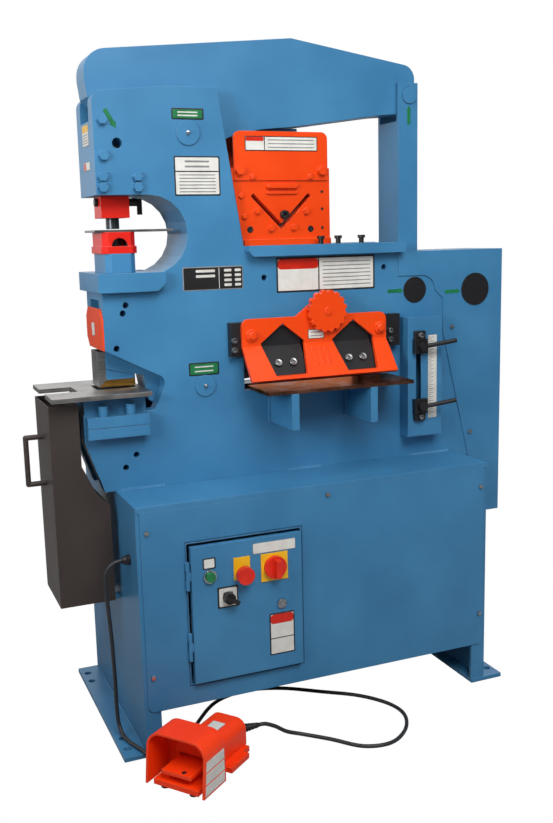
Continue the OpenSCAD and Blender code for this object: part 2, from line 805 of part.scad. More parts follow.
module table_brackets() {
    y = plate_front - shear_table_reach;
    z = [shear_table_top - shear_table_t - bracket_h, shear_table_top - shear_table_t];
    color(blue) on_stand() for (s = bracket_shares) {
        x = shear_table_left + (shear_table_right - shear_table_left) * s;
        slab([x, x + bracket_t], [y, plate_front], z);
        slab([x + bracket_t, x + bracket_flange], [y, y + bracket_t], z);
        slab([x - bracket_t, x], [plate_front - bracket_t, plate_front], z);
    }
}
hold_lap = 14;
hold_short = 2;
hold_off = 32;
hold_left = shear_x - hold_lap;
hold_right = shear_x + shear_w - hold_short;
hold_t = 10;
hold_face = plate_front - hold_off;
hold_bend = 311;
hold_top = 375;
hold_low = 233;
hold_reach = 60;
hump_left = -4;
hump_right = 118;
wheel_x = 72;
wheel_z = 385;
hump_r = 40;
hold_r = 18;
bracket_w = 34;
bracket_low = 289;
bracket_high = 367;
module holddown_brackets() {
    y = [hold_face + hold_t, plate_front];
    color(black) on_stand() {
        slab([hold_left - bracket_w + hold_t, hold_left + hold_t], y, [bracket_low, bracket_high]);
        slab([hold_right - hold_t, hold_right + bracket_w + hold_t], y, [bracket_low, bracket_high]);
    }
}
window_half = 56;
window_low_half = 40;
window_rim_high = 14;
window_rim_low = 12;
window_peak_h = 44;
window_apex = hold_top - window_rim_high;
window_wide = window_apex - window_peak_h;
window_bottom = hold_low + window_rim_low;
hold_window_shares = [0.27, 0.76];
module holddown_casting() {
    color(orange) on_stand() difference() {
        union() {
            plate_x([hold_left, hold_right], [[hold_face, hold_bend],
                [hold_face - hold_reach, hold_low + hold_t / 2],
                [hold_face - hold_reach + hold_t, hold_low], [hold_face + hold_t, hold_bend],
                [hold_face + hold_t, hold_top], [hold_face, hold_top]]);
            plate_y([hold_face, hold_face + hold_t], concat([[hump_left, hold_top]],
                arc(wheel_x, wheel_z, hump_r, 150, 20), [[hump_right, hold_top]]));
        }
        for (s = hold_window_shares) {
            x = hold_left + (hold_right - hold_left) * s;
            plate_y([hold_face - hold_reach - over, hold_face + hold_t + over], [[x - window_half, window_wide],
                [x - window_low_half, window_bottom], [x + window_low_half, window_bottom],
                [x + window_half, window_wide], [x, window_apex]]);
        }
        rod_y(wheel_x, wheel_z, axle_r + run_gap, [hold_face - over, hold_face + hold_t + over]);
        plate_y([hold_face - over, hold_face + hold_t + over], concat([[hold_left - over, hold_top + over]],
            arc(hold_left + hold_r, hold_top - hold_r, hold_r, 90, 180)));
        plate_y([hold_face - over, hold_face + hold_t + over], concat([[hold_right + over, hold_top + over]],
            arc(hold_right - hold_r, hold_top - hold_r, hold_r, 0, 90)));
    }
}
axle_r = 9;
wheel_t = 16;
wheel_notches = 16;
wheel_notch_r = 5;
module holddown_wheel() {
    y = [hold_face - wheel_t - seat_gap, hold_face - seat_gap];
    color(orange) on_stand() {
        difference() {
            rod_y(wheel_x, wheel_z, wheel_r, y);
            for (i = [0:wheel_notches - 1]) let (a = 360 / wheel_notches * i)
                rod_y(wheel_x + wheel_r * cos(a), wheel_z + wheel_r * sin(a), wheel_notch_r, [y[0] - over,
                    y[1] + over]);
        }
        rod_y(wheel_x, wheel_z, axle_r, [y[1], hold_face + hold_t]);
        rod_y(wheel_x, wheel_z, axle_r, [y[0] - pin_end, y[0]]);
    }
}
foot_half = 50;
foot_low = 242;
foot_top = 332;
foot_bar_h = 22;
foot_clear = 3;
module holddown_feet() {
    back = plate_front - seat_gap;
    face = hold_face + hold_t + foot_clear;
    z = hold_bend - foot_clear;
    run = (z - foot_low) * hold_reach / (hold_bend - hold_low);
    color(black) on_stand() {
        slab([hold_left + hold_t * 3, hold_right - hold_t * 3], [face, back], [foot_top, foot_top + foot_bar_h]);
        for (s = hold_window_shares) let (x = hold_left + (hold_right - hold_left) * s)
            plate_x([x - foot_half, x + foot_half], [[back, foot_low], [back, foot_top], [face, foot_top],
                [face, z],
                [face - run + foot_clear, foot_low + foot_clear], [face - run + foot_clear, foot_low]]);
    }
}

// Cylinder cover, access plugs and stroke control
rim_w = 22;
cover_left = step_x - cover_lap;
cover_edge = concat(
    [[cover_left, step_z - cover_lap]],
    arc(shoulder_x - shoulder_r, step_z - shoulder_r, shoulder_r - cover_lap, 90, 0),
    [[edge_x - cover_lap, step_z - shoulder_r - edge_step - cover_lap], [edge_x - cover_lap, edge_z],
        [tail_x - cover_lap, tail_z], [tail_right - cover_lap, base_pin_z], [tail_right - cover_lap, cover_low]]);
link_room = [[262, 376], [-66, 52]];
plug_high_x = cyl_x;
plug_high_z = 416.5;
plug_high_r = 37;
plug_rim = 4;
plug_t = 4;
module cylinder_guard() {
    y = [plate_front - sheet_t, plate_back + sheet_t];
    color(blue) on_stand() {
        difference() {
            slab([ledge_right_x + seat_gap, cover_right], y, [cover_top - sheet_t, cover_top]);
            slab(link_room[0], link_room[1], [cover_top - sheet_t - over, cover_top + over]);
        }
        slab([cover_right - sheet_t, cover_right], y, [cover_low, cover_top - sheet_t]);
        slab([cover_left, cover_right - sheet_t], [y[0], y[0] + sheet_t],
            [cover_top - rim_w, cover_top - sheet_t]);
        slab([cover_right - rim_w, cover_right - sheet_t], [y[0], y[0] + sheet_t],
            [cover_low, cover_top - rim_w]);
        plate_y([y[1] - sheet_t, y[1]], concat(cover_edge, [[cover_right - sheet_t, cover_low],
            [cover_right - sheet_t, cover_top - sheet_t], [cover_left, cover_top - sheet_t]]));
    }
}
module cylinder_front_cover() {
    color(blue) on_stand() difference() {
        plate_y([plate_front - sheet_t, plate_front], concat(cover_edge, [[cover_right - rim_w, cover_low],
            [cover_right - rim_w, cover_top - rim_w], [cover_left, cover_top - rim_w]]));
        rod_y(plug_high_x, plug_high_z, plug_high_r, [plate_front - sheet_t - over, plate_front + over]);
    }
}
module access_plugs() {
    color(dark) on_stand() {
        rod_y(plug_x, plug_z, plug_low_r - seat_gap, [plate_front, plate_front + plug_t]);
        rod_y(plug_x, plug_z, plug_low_r + plug_rim, [plate_front - sheet_t / 2, plate_front]);
        rod_y(plug_high_x, plug_high_z, plug_high_r - seat_gap, [plate_front - sheet_t, plate_front + plug_t]);
        rod_y(plug_high_x, plug_high_z, plug_high_r + plug_rim,
            [plate_front - sheet_t - plug_t / 2, plate_front - sheet_t]);
    }
}
stroke_low = 57;
stroke_high = 356;
stroke_wall = 4;
stroke_slot_in = 23;
stroke_slot_x = stroke_x + stroke_slot_in;
stroke_slot_w = 15;
stroke_slot_low = 102;
stroke_slot_high = 308;
module stroke_housing() {
    y = [plate_front - stroke_d, plate_front];
    color(blue) on_stand() difference() {
        slab([stroke_x, stroke_x + stroke_w], y, [stroke_low, stroke_high]);
        slab([stroke_x + stroke_wall, stroke_x + stroke_w - stroke_wall], [y[0] + stroke_wall, y[1] + over],
            [stroke_low + stroke_wall, stroke_high - stroke_wall]);
        slab([stroke_slot_x, stroke_slot_x + stroke_slot_w], [y[0] - over, y[0] + stroke_wall + over],
            [stroke_slot_low, stroke_slot_high]);
    }
}
stop_w = 36;
stop_t = 14;
stop_gap = 1;
stop_nut_w = 26;
stop_nut_t = 8;
upper_stop_z = 285;
lower_stop_z = 135;
stop_x = stroke_slot_x + stroke_slot_w / 2;
lever_hub_r = 11;
lever_hub_t = 14;
lever_r = 5.5;
lever_l = 88;
lever_tilt_angle = 8;
lever_out_angle = 10;
module stroke_stop(z) {
    face = plate_front - stroke_d;
    shank = stroke_slot_w / 2 - stop_gap;
    color(black) on_stand() {
        slab([stop_x - stop_w / 2, stop_x + stop_w / 2], [face - seat_gap - stop_t, face - seat_gap],
            [z - stop_w / 2, z + stop_w / 2]);
        slab([stop_x - shank, stop_x + shank], [face - seat_gap, face + stroke_wall + seat_gap],
            [z - shank, z + shank]);
        slab([stop_x - stop_nut_w / 2, stop_x + stop_nut_w / 2],
            [face + stroke_wall + seat_gap, face + stroke_wall + seat_gap + stop_nut_t],
            [z - stop_nut_w / 2, z + stop_nut_w / 2]);
    }
}
module stop_lever(z) {
    back = plate_front - stroke_d - seat_gap * 2 - stop_t;
    color(black) on_stand() {
        rod_y(stop_x, z, lever_hub_r, [back - lever_hub_t, back]);
        translate([stop_x, back - lever_hub_t / 2, z]) rotate([0, 90 - lever_tilt_angle, -lever_out_angle])
            cylinder(r = lever_r, h = lever_l);
    }
}
module upper_stop() { stroke_stop(upper_stop_z); }
module lower_stop() { stroke_stop(lower_stop_z); }
module upper_lever() { stop_lever(upper_stop_z); }
module lower_lever() { stop_lever(lower_stop_z); }

// Electrical controls on the front panel
door_h = stand_h - door_drop - door_low;
box_wall = 2;
box_edge = 7;
box_d = 130;
box_flange = 12;
hinge_r = 4.5;
hinge_pin_r = 2.5;
hinge_off = 6;
hinge_out = 7;
hinge_y = stand_front - hinge_out;
hinge_l = 64;
hinge_shares = [0.27, 0.79];
knuckle_gap = 0.5;
leaf_t = 2;
module hinge_part(z, part) {
    third = hinge_l / 3;
    x = door_x - hinge_off;
    if (part == "box") {
        for (k = [z, z + third * 2]) {
            rod_z(x, hinge_y, hinge_r, [k, k + third]);
            slab([x - hinge_r, x], [hinge_y, stand_front], [k, k + third]);
        }
        rod_z(x, hinge_y, hinge_pin_r, [z + third, z + third * 2]);
    } else difference() {
        union() {
            rod_z(x, hinge_y, hinge_r, [z + third + knuckle_gap, z + third * 2 - knuckle_gap]);
            slab([x, door_x + leaf_t], [hinge_y - hinge_r, hinge_y - hinge_r + leaf_t],
                [z + third + knuckle_gap, z + third * 2 - knuckle_gap]);
        }
        rod_z(x, hinge_y, hinge_pin_r + run_gap, [z, z + hinge_l]);
    }
}
module control_enclosure() {
    x = [door_x - box_edge, door_x + door_w + box_edge];
    z = [door_low - box_edge, door_low + door_h + box_edge];
    y = [stand_front, stand_front + box_d];
    back = stand_front + sheet_t;
    color(blue) {
        difference() {
            union() {
                slab(x, y, z);
                slab([x[0] - box_flange, x[1] + box_flange], [back, back + box_wall],
                    [z[0] - box_flange, z[1] + box_flange]);
            }
            slab([x[0] + box_wall, x[1] - box_wall], [y[0] - over, y[1] - box_wall],
                [z[0] + box_wall, z[1] - box_wall]);
        }
        for (s = hinge_shares) hinge_part(door_low + door_h * s - hinge_l / 2, "box");
    }
}
door_face = stand_front - door_t;
door_gap = 1;
start_in = 41;
start_down = 70;
start_x = door_x + start_in;
start_z = door_low + door_h - start_down;
estop_in = 117;
estop_down = 73;
estop_x = door_x + estop_in;
estop_z = door_low + door_h - estop_down;
selector_in = 82;
selector_down = 124;
selector_x = door_x + selector_in;
selector_z = door_low + door_h - selector_down;
main_in = 195;
main_down = 71;
main_x = door_x + main_in;
main_z = door_low + door_h - main_down;
latch_in = 211;
latch_down = 161;
latch_x = door_x + latch_in;
latch_z = door_low + door_h - latch_down;
stem_r = 8;
latch_r = 11;
module control_door() {
    color(blue) {
        difference() {
            slab([door_x, door_x + door_w], [door_face, stand_front - door_gap], [door_low, door_low + door_h]);
            slab([door_x + box_wall, door_x + door_w - box_wall], [door_face + box_wall, stand_front + over],
                [door_low + box_wall, door_low + door_h - box_wall]);
            for (p = [[start_x, start_z], [estop_x, estop_z], [selector_x, selector_z], [main_x, main_z],
                [latch_x, latch_z]])
                rod_y(p[0], p[1], stem_r + run_gap, [door_face - over, door_face + box_wall + over]);
        }
        for (s = hinge_shares) hinge_part(door_low + door_h * s - hinge_l / 2, "door");
    }
}
tag_t = 2;
main_plate = 65;
selector_plate = 48;
estop_plate_w = 39;
estop_plate_h = 52;
estop_plate_up = 10;
bezel_r = 15;
bezel_t = 6;
module tag(x, z, w, h, rise) {
    difference() {
        slab([x - w / 2, x + w / 2], [door_face - tag_t, door_face], [z - h / 2 + rise, z + h / 2 + rise]);
        rod_y(x, z, stem_r + run_gap, [door_face - over, door_face + over]);
    }
}
module door_plates() {
    color("gold") {
        tag(main_x, main_z, main_plate, main_plate, 0);
        tag(estop_x, estop_z, estop_plate_w, estop_plate_h, estop_plate_up);
    }
    color(black) tag(selector_x, selector_z, selector_plate, selector_plate, 0);
    color(steel) difference() {
        rod_y(start_x, start_z, bezel_r, [door_face - bezel_t, door_face]);
        rod_y(start_x, start_z, start_d / 2 + seat_gap, [door_face - bezel_t - over, door_face - tag_t]);
        rod_y(start_x, start_z, stem_r + run_gap, [door_face - over, door_face + over]);
    }
}
start_h = 7;
start_stroke = 3;
stem_l = 22;
module start_button() {
    y = door_face - tag_t - start_stroke - seat_gap;
    color("green") {
        rod_y(start_x, start_z, start_d / 2, [y - start_h, y]);
        rod_y(start_x, start_z, stem_r, [y, door_face + stem_l]);
    }
}
estop_h = 14;
estop_neck = 14;
estop_collar = 13;
module estop_button() {
    y = door_face - tag_t - seat_gap;
    color(red) {
        rod_y(estop_x, estop_z, estop_d / 2, [y - estop_neck - estop_h, y - estop_neck]);
        rod_y(estop_x, estop_z, estop_collar, [y - estop_neck, y - estop_stroke]);
        rod_y(estop_x, estop_z, stem_r, [y - estop_stroke, door_face + stem_l]);
    }
}
estop_stroke = 5;
selector_r = 13;
selector_h = 16;
selector_grip_l = 34;
selector_grip_w = 9;
module selector_knob() {
    y = door_face - tag_t - seat_gap;
    color(black) {
        rod_y(selector_x, selector_z, selector_r, [y - selector_h, y]);
        rod_y(selector_x, selector_z, stem_r, [y, door_face + stem_l]);
        translate([selector_x, y - selector_h, selector_z]) rotate([0, 30, 0])
            slab([-selector_r, selector_grip_l - selector_r], [-selector_grip_w, 0],
                [-selector_grip_w / 2, selector_grip_w / 2]);
    }
}
main_r = 26;
main_h = 10;
main_grip_w = 12;
main_grip_h = 18;
module disconnect_handle() {
    y = door_face - tag_t - seat_gap;
    color(red) {
        rod_y(main_x, main_z, main_r, [y - main_h, y]);
        rod_y(main_x, main_z, stem_r, [y, door_face + stem_l]);
        slab([main_x - main_grip_w / 2, main_x + main_grip_w / 2], [y - main_h - main_grip_h, y - main_h],
            [main_z - main_r + main_grip_w / 2, main_z + main_r - main_grip_w / 2]);
    }
}
latch_t = 4;
latch_tongue_l = 52;
latch_tongue_t = 3;
module door_latch() {
    y = door_face - seat_gap;
    back = stand_front + sheet_t;
    color(steel) {
        rod_y(latch_x, latch_z, latch_r, [y - latch_t, y]);
        rod_y(latch_x, latch_z, stem_r, [y, back]);
        slab([latch_x - stem_r, latch_x + latch_tongue_l - stem_r], [back, back + latch_tongue_t],
            [latch_z - stem_r, latch_z + stem_r]);
    }
}

// Hydraulic power unit inside the stand
tank_x = -20;
tank_w = 350;
tank_y = -60;
tank_d = 250;
tank_h = 205;
motor_r = 92;
motor_air = 44;
motor_h = stand_h - top_t - motor_air - shelf_low - shelf_t - tank_h;
motor_flange_r = 105;
motor_flange_t = 14;
fan_cover_h = 40;
fan_cover_r = 96;
fin_count = 24;
fin_w = 4;
motor_in = 130;
motor_back = 145;
motor_x = tank_x + motor_in;
motor_y = tank_y + motor_back;
valve_w = 60;
valve_in = 20;
valve_x = tank_x + tank_w - valve_w - valve_in;
line_r = 8;
line_end_gap = 10;
module hydraulic_tank() {
    low = shelf_low + shelf_t;
    top = low + tank_h;
    color(black) {
        slab([tank_x, tank_x + tank_w], [tank_y, tank_y + tank_d], [low, top]);
        slab([valve_x, valve_x + valve_w], [frame_y - valve_w / 2, frame_y + valve_w / 2],
            [top, stand_h + line_z + valve_w / 3]);
        rod_x(frame_y, stand_h + line_z, line_r, [valve_x + valve_w, cyl_x - barrel_r - port_l + line_end_gap]);
    }
}
module pump_motor() {
    low = shelf_low + shelf_t + tank_h;
    color(steel) {
        rod_z(motor_x, motor_y, motor_flange_r, [low, low + motor_flange_t]);
        rod_z(motor_x, motor_y, motor_r - fin_w, [low + motor_flange_t, low + motor_h - fan_cover_h]);
        rod_z(motor_x, motor_y, fan_cover_r, [low + motor_h - fan_cover_h, low + motor_h]);
        for (i = [0:fin_count - 1]) translate(
            [motor_x, motor_y, low + motor_flange_t]) rotate(360 / fin_count * i)
            slab([motor_r - fin_w * 2, motor_r], [-fin_w / 2, fin_w / 2],
                [0, motor_h - fan_cover_h - motor_flange_t]);
    }
}

// Cylinder: the barrel swings on its base pin, the rod slides in it
barrel_r = 40;
bore_r = 32;
barrel_up = 46;
barrel_low = base_pin_z + barrel_up;
barrel_top = 259;
head_t = 18;
rod_r = 20;
eye_r = 34;
eye_t = 40;
port_l = 16;
port_r = 14;
port_gap = 3;
piston_t = 30;
piston_gap = 0.1;
piston_room = 6;
module cylinder_barrel() {
    color(blue) on_stand() difference() {
        union() {
            rod_z(cyl_x, frame_y, barrel_r, [barrel_low, barrel_top]);
            rod_y(cyl_x, base_pin_z, eye_r, [frame_y - eye_t / 2, frame_y + eye_t / 2]);
            slab([cyl_x - eye_r, cyl_x + eye_r], [frame_y - eye_t / 2, frame_y + eye_t / 2],
                [base_pin_z, barrel_low]);
            rod_x(frame_y, line_z, port_r, [cyl_x - barrel_r - port_l, cyl_x - eye_r + over]);
        }
        rod_z(cyl_x, frame_y, bore_r, [barrel_low + head_t, barrel_top - head_t]);
        rod_z(cyl_x, frame_y, rod_r + piston_gap, [barrel_top - head_t - over, barrel_top + over]);
        rod_y(cyl_x, base_pin_z, rod_pin_r + run_gap, [frame_y - eye_t, frame_y + eye_t]);
        rod_x(frame_y, line_z, line_r + port_gap,
            [cyl_x - barrel_r - port_l - over, cyl_x - barrel_r + line_end_gap / 2]);
    }
}
module cylinder_rod() {
    low = barrel_low + head_t + piston_room;
    color(steel) on_stand() difference() {
        union() {
            rod_z(cyl_x, frame_y, bore_r - piston_gap, [low, low + piston_t]);
            rod_z(cyl_x, frame_y, rod_r, [low + piston_t, rod_pin_z - eye_r + over]);
            rod_y(cyl_x, rod_pin_z, eye_r, [frame_y - eye_t / 2, frame_y + eye_t / 2]);
        }
        rod_y(cyl_x, rod_pin_z, rod_pin_r + open_rod_gap, [frame_y - eye_t, frame_y + eye_t]);
    }
}

// Upper arm: beam over the window, tongue in the ram, tab for the angle blade
beam_left = -457;
beam_right = 358;
beam_top = 1011;
beam_low = 806;
beam_peak_x = 30;
beam_shoulder = 965;
beam_left_z = 969;
beam_corner_r = 52;
beam_right_r = 34;
beam_belly = 732;
beam_seat = 839;
tongue_t = 40;
tongue_gap = 1;
tongue_r = 28;
ram_pin_z = 783;
ram_pin_r = 17;
link_pin_r = 20;
tab_t = 30;
tab_low = 717;
tab_x = -70;
tab_w = 120;
beam_w = beam_right - beam_left;
beam_h = beam_top - beam_belly;
beam_tip_shares = [[0.021, 0.43], [0.006, 0.484], [0, 0.62]];
beam_under_shares = [[1, 0.43], [0.887, 0.405], [0.598, 0.29], [0.5, 0.265], [0.416, 0.215], [0.351, 0.13],
    [0.264, 0], [0.193, 0.047], [0.138, 0.14], [0.117, 0.384]];
function beam_spots(shares) = [for (s = shares) [beam_left + beam_w * s[0], beam_belly + beam_h * s[1]]];
beam_outline = concat(beam_spots(beam_tip_shares),
    arc(beam_left + beam_corner_r, beam_left_z - beam_corner_r, beam_corner_r, 180, 96),
    [[beam_peak_x, beam_top]],
    arc(beam_right - beam_right_r, beam_shoulder - beam_right_r, beam_right_r, 80, 0),
    beam_spots(beam_under_shares));
tongue_root = 90;
tongue_drop = 26;
tongue_lean = 6;
tongue_up = 20;
tongue_outline = concat([[upper_x - tongue_root, ram_pin_z - tongue_drop]],
    arc(punch_x, ram_pin_z, tongue_r, 270, 150),
    [[punch_x - tongue_r + tongue_lean, beam_seat + tongue_up], [upper_x - tongue_root, beam_seat + tongue_up]]);
module upper_arm() {
    tongue = [frame_y - tongue_t / 2, frame_y + tongue_t / 2];
    color(blue) on_stand() difference() {
        union() {
            plate_y([arm_front, arm_back], beam_outline);
            plate_y(tongue, tongue_outline);
            rod_y(punch_x, ram_pin_z, ram_pin_r, [arm_front + tongue_gap, arm_back - tongue_gap]);
            rod_y(link_top_x, link_top_z, link_pin_r,
                [frame_y - link_d / 2 - pin_end, frame_y + link_d / 2 + pin_end]);
            slab([tab_x, tab_x + tab_w], [arm_front + blade_t, arm_front + blade_t + tab_t],
                [tab_low, beam_low + over]);
        }
        rod_y(upper_x, upper_z, upper_pin_r + run_gap, [arm_front - over, arm_back + over]);
    }
}
ram_top = 827;
ram_slot_low = ram_pin_z - tongue_r - tongue_gap * 2;
ram_slide = 4;
ram_lift = 0.4;
punch_holder_r = 22;
punch_holder_h = 32;
punch_l = 63;
ram_low = punch_low + punch_l;
neck_h = 36;
neck_r = 24;
module punch_ram() {
    y = [arm_front, arm_back];
    pin_slot = ram_pin_r + ram_lift;
    color(steel) on_stand() difference() {
        union() {
            slab([punch_x - ram_w / 2, punch_x + ram_w / 2], y, [ram_low + neck_h, ram_top]);
            rod_z(punch_x, frame_y, neck_r, [ram_low, ram_low + neck_h]);
        }
        slab([punch_x - ram_w, punch_x + ram_w],
            [frame_y - tongue_t / 2 - tongue_gap, frame_y + tongue_t / 2 + tongue_gap],
            [ram_slot_low, ram_top + over]);
        for (x = [punch_x, punch_x + ram_slide])
            rod_y(x, ram_pin_z, pin_slot, [y[0] - over, y[1] + over]);
        slab([punch_x, punch_x + ram_slide], [y[0] - over, y[1] + over],
            [ram_pin_z - pin_slot, ram_pin_z + pin_slot]);
    }
}
module punch() {
    color(dark) on_stand() {
        rod_z(punch_x, frame_y, punch_d / 2, [punch_low, ram_low - punch_holder_h]);
        rod_z(punch_x, frame_y, punch_holder_r, [ram_low - punch_holder_h, ram_low]);
    }
}

// Link: a channel round the beam's end, with a tongue in the lower arm's fork
link_d = 102;
link_wall = 9;
link_web_off = 29;
link_edge_off = 25;
link_neck_in = 4;
link_left = link_low_x - link_web_off;
link_right = link_low_x + link_edge_off;
link_low = 513;
link_web_top = 831;
link_top = 921;
link_neck_x = [link_left + link_neck_in, link_right];
module link_channel() {
    y = [frame_y - link_d / 2, frame_y + link_d / 2];
    neck = [frame_y - tongue_t / 2, frame_y + tongue_t / 2];
    color(blue) on_stand() difference() {
        union() {
            difference() {
                slab([link_left, link_right], y, [link_low, link_top]);
                slab([link_left + link_wall, link_right + over], [y[0] + link_wall, y[1] - link_wall],
                    [link_low + link_wall, link_top + over]);
                slab([link_left - over, link_left + link_wall + over], [y[0] + link_wall, y[1] - link_wall],
                    [link_web_top, link_top + over]);
            }
            slab(link_neck_x, neck, [link_low_z, link_low]);
            rod_y(link_low_x, link_low_z, fork_eye_r, neck);
        }
        rod_y(link_low_x, link_low_z, link_pin_r + run_gap, [y[0], y[1]]);
        rod_y(link_top_x, link_top_z, link_pin_r + open_link_gap, [y[0] - over, y[1] + over]);
    }
}
fork_eye_r = 30;

// Lower arm: notching head, flat-bar window, fork for the link, fork for the rod
fork_half = 42;
fork_low = 326;
rod_fork_x = 464;
arm_head_top = 417;
head_x = notch_tool_x + notch_bar_t;
notch_blade_h = 16;
notch_blade_gap = 4;
tongue_h = 26;
tongue_low = notch_table_top + notch_blade_gap + notch_blade_h;
arm_head_low = tongue_low + tongue_h;
arm_pocket_gap = 1;
arm_window_top = 293;
arm_low = 89;
window_drop = 3;
arm_w = cyl_x - head_x;
arm_h = arm_head_top - arm_low;
arm_head_shares = [[0, 0.567], [0, 0.689], [0.015, 0.704], [0.026, 1], [0.115, 0.97], [0.29, 0.832],
    [0.714, 0.832],
    [0.784, 0.96], [0.866, 0.96]];
arm_foot_shares = [[0.878, 0.604], [0.756, 0.183], [0.714, 0], [0.301, 0], [0.22, 0.116], [0.157, 0.22],
    [0.1, 0.329], [0.09, 0.506]];
function arm_spots(shares) = [for (s = shares) [head_x + arm_w * s[0], arm_low + arm_h * s[1]]];
lower_arm_outline = concat(arm_spots(arm_head_shares), arc(cyl_x, rod_pin_z, eye_r, 80, -90),
    arm_spots(arm_foot_shares));
module lower_arm() {
    y = [arm_front, arm_back];
    fork = [frame_y - tongue_t / 2 - tongue_gap, frame_y + tongue_t / 2 + tongue_gap];
    color(blue) on_stand() difference() {
        union() {
            difference() {
                union() {
                    plate_y(y, lower_arm_outline);
                    slab([head_x, notch_tool_x + notch_tool_w],
                        [frame_y - notch_tool_d / 2, frame_y + notch_tool_d / 2],
                            [tongue_low, arm_head_low + over]);
                }
                slab([link_low_x - fork_half, link_low_x + fork_half], fork, [fork_low, arm_head_top + over]);
                slab([rod_fork_x, cyl_x + eye_r + over], fork, [arm_low, arm_head_top]);
                slab([shear_x - over, shear_x + shear_w + over], [y[0] - over, y[1] + over],
                    [lower_blade_top - window_drop, arm_window_top]);
                slab([shear_x + blade_inset - arm_pocket_gap, shear_x + shear_w - blade_inset + arm_pocket_gap],
                    [y[0] - over, y[0] + lower_blade_t], [lower_blade_top - lower_blade_h, lower_blade_top]);
            }
            rod_y(link_low_x, link_low_z, link_pin_r, y);
            rod_y(cyl_x, rod_pin_z, rod_pin_r, y);
        }
        rod_y(lower_x, lower_z, lower_pin_r + run_gap, [y[0] - over, y[1] + over]);
    }
}
module notcher_punch() {
    y = [frame_y - notch_tool_d / 2, frame_y + notch_tool_d / 2];
    color("#b08a4a") on_stand() {
        slab([notch_tool_x, notch_tool_x + notch_tool_w], y, [tongue_low - notch_blade_h, tongue_low]);
        slab([notch_tool_x, head_x], y, [tongue_low, notch_high - notch_gap]);
    }
}

// Foot switch on the floor, turned towards the front left
switch_angle = 38;
shield_t = 5;
shield_r = 34;
shield_low = 8;
shield_angle = 6;
shield_gap = 1;
base_l = 205;
base_w = 112;
base_t = 12;
ear_x = 112;
ear_l = 72;
ear_w = 142;
rubber_r = 10;
rubber_h = 8;
rubber_inset = 20;
body_lead = 3;
body_x = shield_l - shield_t - body_lead;
body_l = 138;
body_w = 92;
body_h = 60;
body_r = 24;
pedal_l = 76;
pedal_w = 76;
pedal_t = 8;
pedal_z = 40;
pedal_axle_r = 5;
pedal_gap = 6;
pedal_play = 1;
pedal_axle_in = 8;
pedal_axle_x = body_x + pedal_axle_in;
pedal_axle_w = 88;
cord_r = 4.5;
relief_l = 45;
relief_r = 10;
relief_y = -30;
relief_z = 52;
gland_l = 12;
gland_r = 12;
gland_y = -183;
gland_z = 440;
module at_switch() {
    translate([switch_x, switch_y, 0]) rotate(switch_angle) children();
}
module arch(w, h, r) {
    polygon(concat([[-w / 2, 0], [w / 2, 0]], arc(w / 2 - r, h - r, r, 0, 90), arc(r - w / 2, h - r, r, 90,
        180)));
}
module arch_along(x, w, h, r) {
    translate([x[0], 0, 0]) rotate([90, 0, 90]) linear_extrude(x[1] - x[0]) arch(w, h, r);
}
module foot_switch_base() {
    color(orange) at_switch() {
        difference() {
            union() {
                translate([shield_t, -base_w / 2, rubber_h]) cube([base_l, base_w, base_t]);
                translate([ear_x, -ear_w / 2, rubber_h]) cube([ear_l, ear_w, base_t]);
                translate([0, 0, rubber_h + base_t]) arch_along([body_x, body_x + body_l], body_w, body_h,
                    body_r);
            }
            rod_y(pedal_axle_x, pedal_z, pedal_axle_r + run_gap, [-body_w, body_w]);
            translate([0, 0, rubber_h + base_t])
                slab([body_x - over, pedal_axle_x + pedal_gap * 2], [-pedal_w / 2, pedal_w / 2], [0, body_h / 2]);
        }
        for (x = [rubber_inset, base_l - rubber_inset], y =
            [rubber_inset - base_w / 2, base_w / 2 - rubber_inset])
            rod_z(x, y, rubber_r, [0, rubber_h]);
    }
}
module foot_switch_shield() {
    color(orange) at_switch() difference() {
        translate([0, 0, shield_low]) arch_along([0, shield_l], shield_w, shield_h, shield_r);
        translate([0, 0, shield_low - over])
            arch_along([-over, shield_l - shield_t], shield_w - shield_t * 2, shield_h - shield_t + over,
                shield_r - shield_t);
        translate([shield_l - shield_t - over, 0, shield_low - over])
            arch_along([0, shield_t + over * 2], body_w + shield_gap * 2,
                rubber_h + base_t - shield_low + body_h + over + shield_gap, body_r);
        translate([0, -shield_w, shield_low]) rotate([0, shield_angle, 0])
            slab([-shield_w, 0], [0, shield_w * 2], [0, shield_h * 2]);
        slab([shield_l - shield_t - over, shield_l + over], [-base_w / 2 - shield_gap, base_w / 2 + shield_gap],
            [0, rubber_h + base_t + shield_gap]);
    }
}
module foot_pedal() {
    y = [pedal_play - pedal_w / 2, pedal_w / 2 - pedal_play];
    color(orange) at_switch() {
        slab([pedal_axle_x - pedal_l, pedal_axle_x], y, [pedal_z - pedal_t / 2, pedal_z + pedal_t / 2]);
        rod_y(pedal_axle_x, pedal_z, pedal_axle_r, [-pedal_axle_w / 2, pedal_axle_w / 2]);
    }
}
module cord_fittings() {
    color(black) {
        rod_x(gland_y, gland_z, gland_r, [-stand_right - gland_l, -stand_right]);
        at_switch() difference() {
            translate([body_x + body_l, relief_y, relief_z]) rotate(-switch_angle)
                rod_x(0, 0, relief_r, [-relief_r * 2, relief_l]);
            slab([0, body_x + body_l], [-shield_w, shield_w], [0, shield_h]);
        }
    }
}
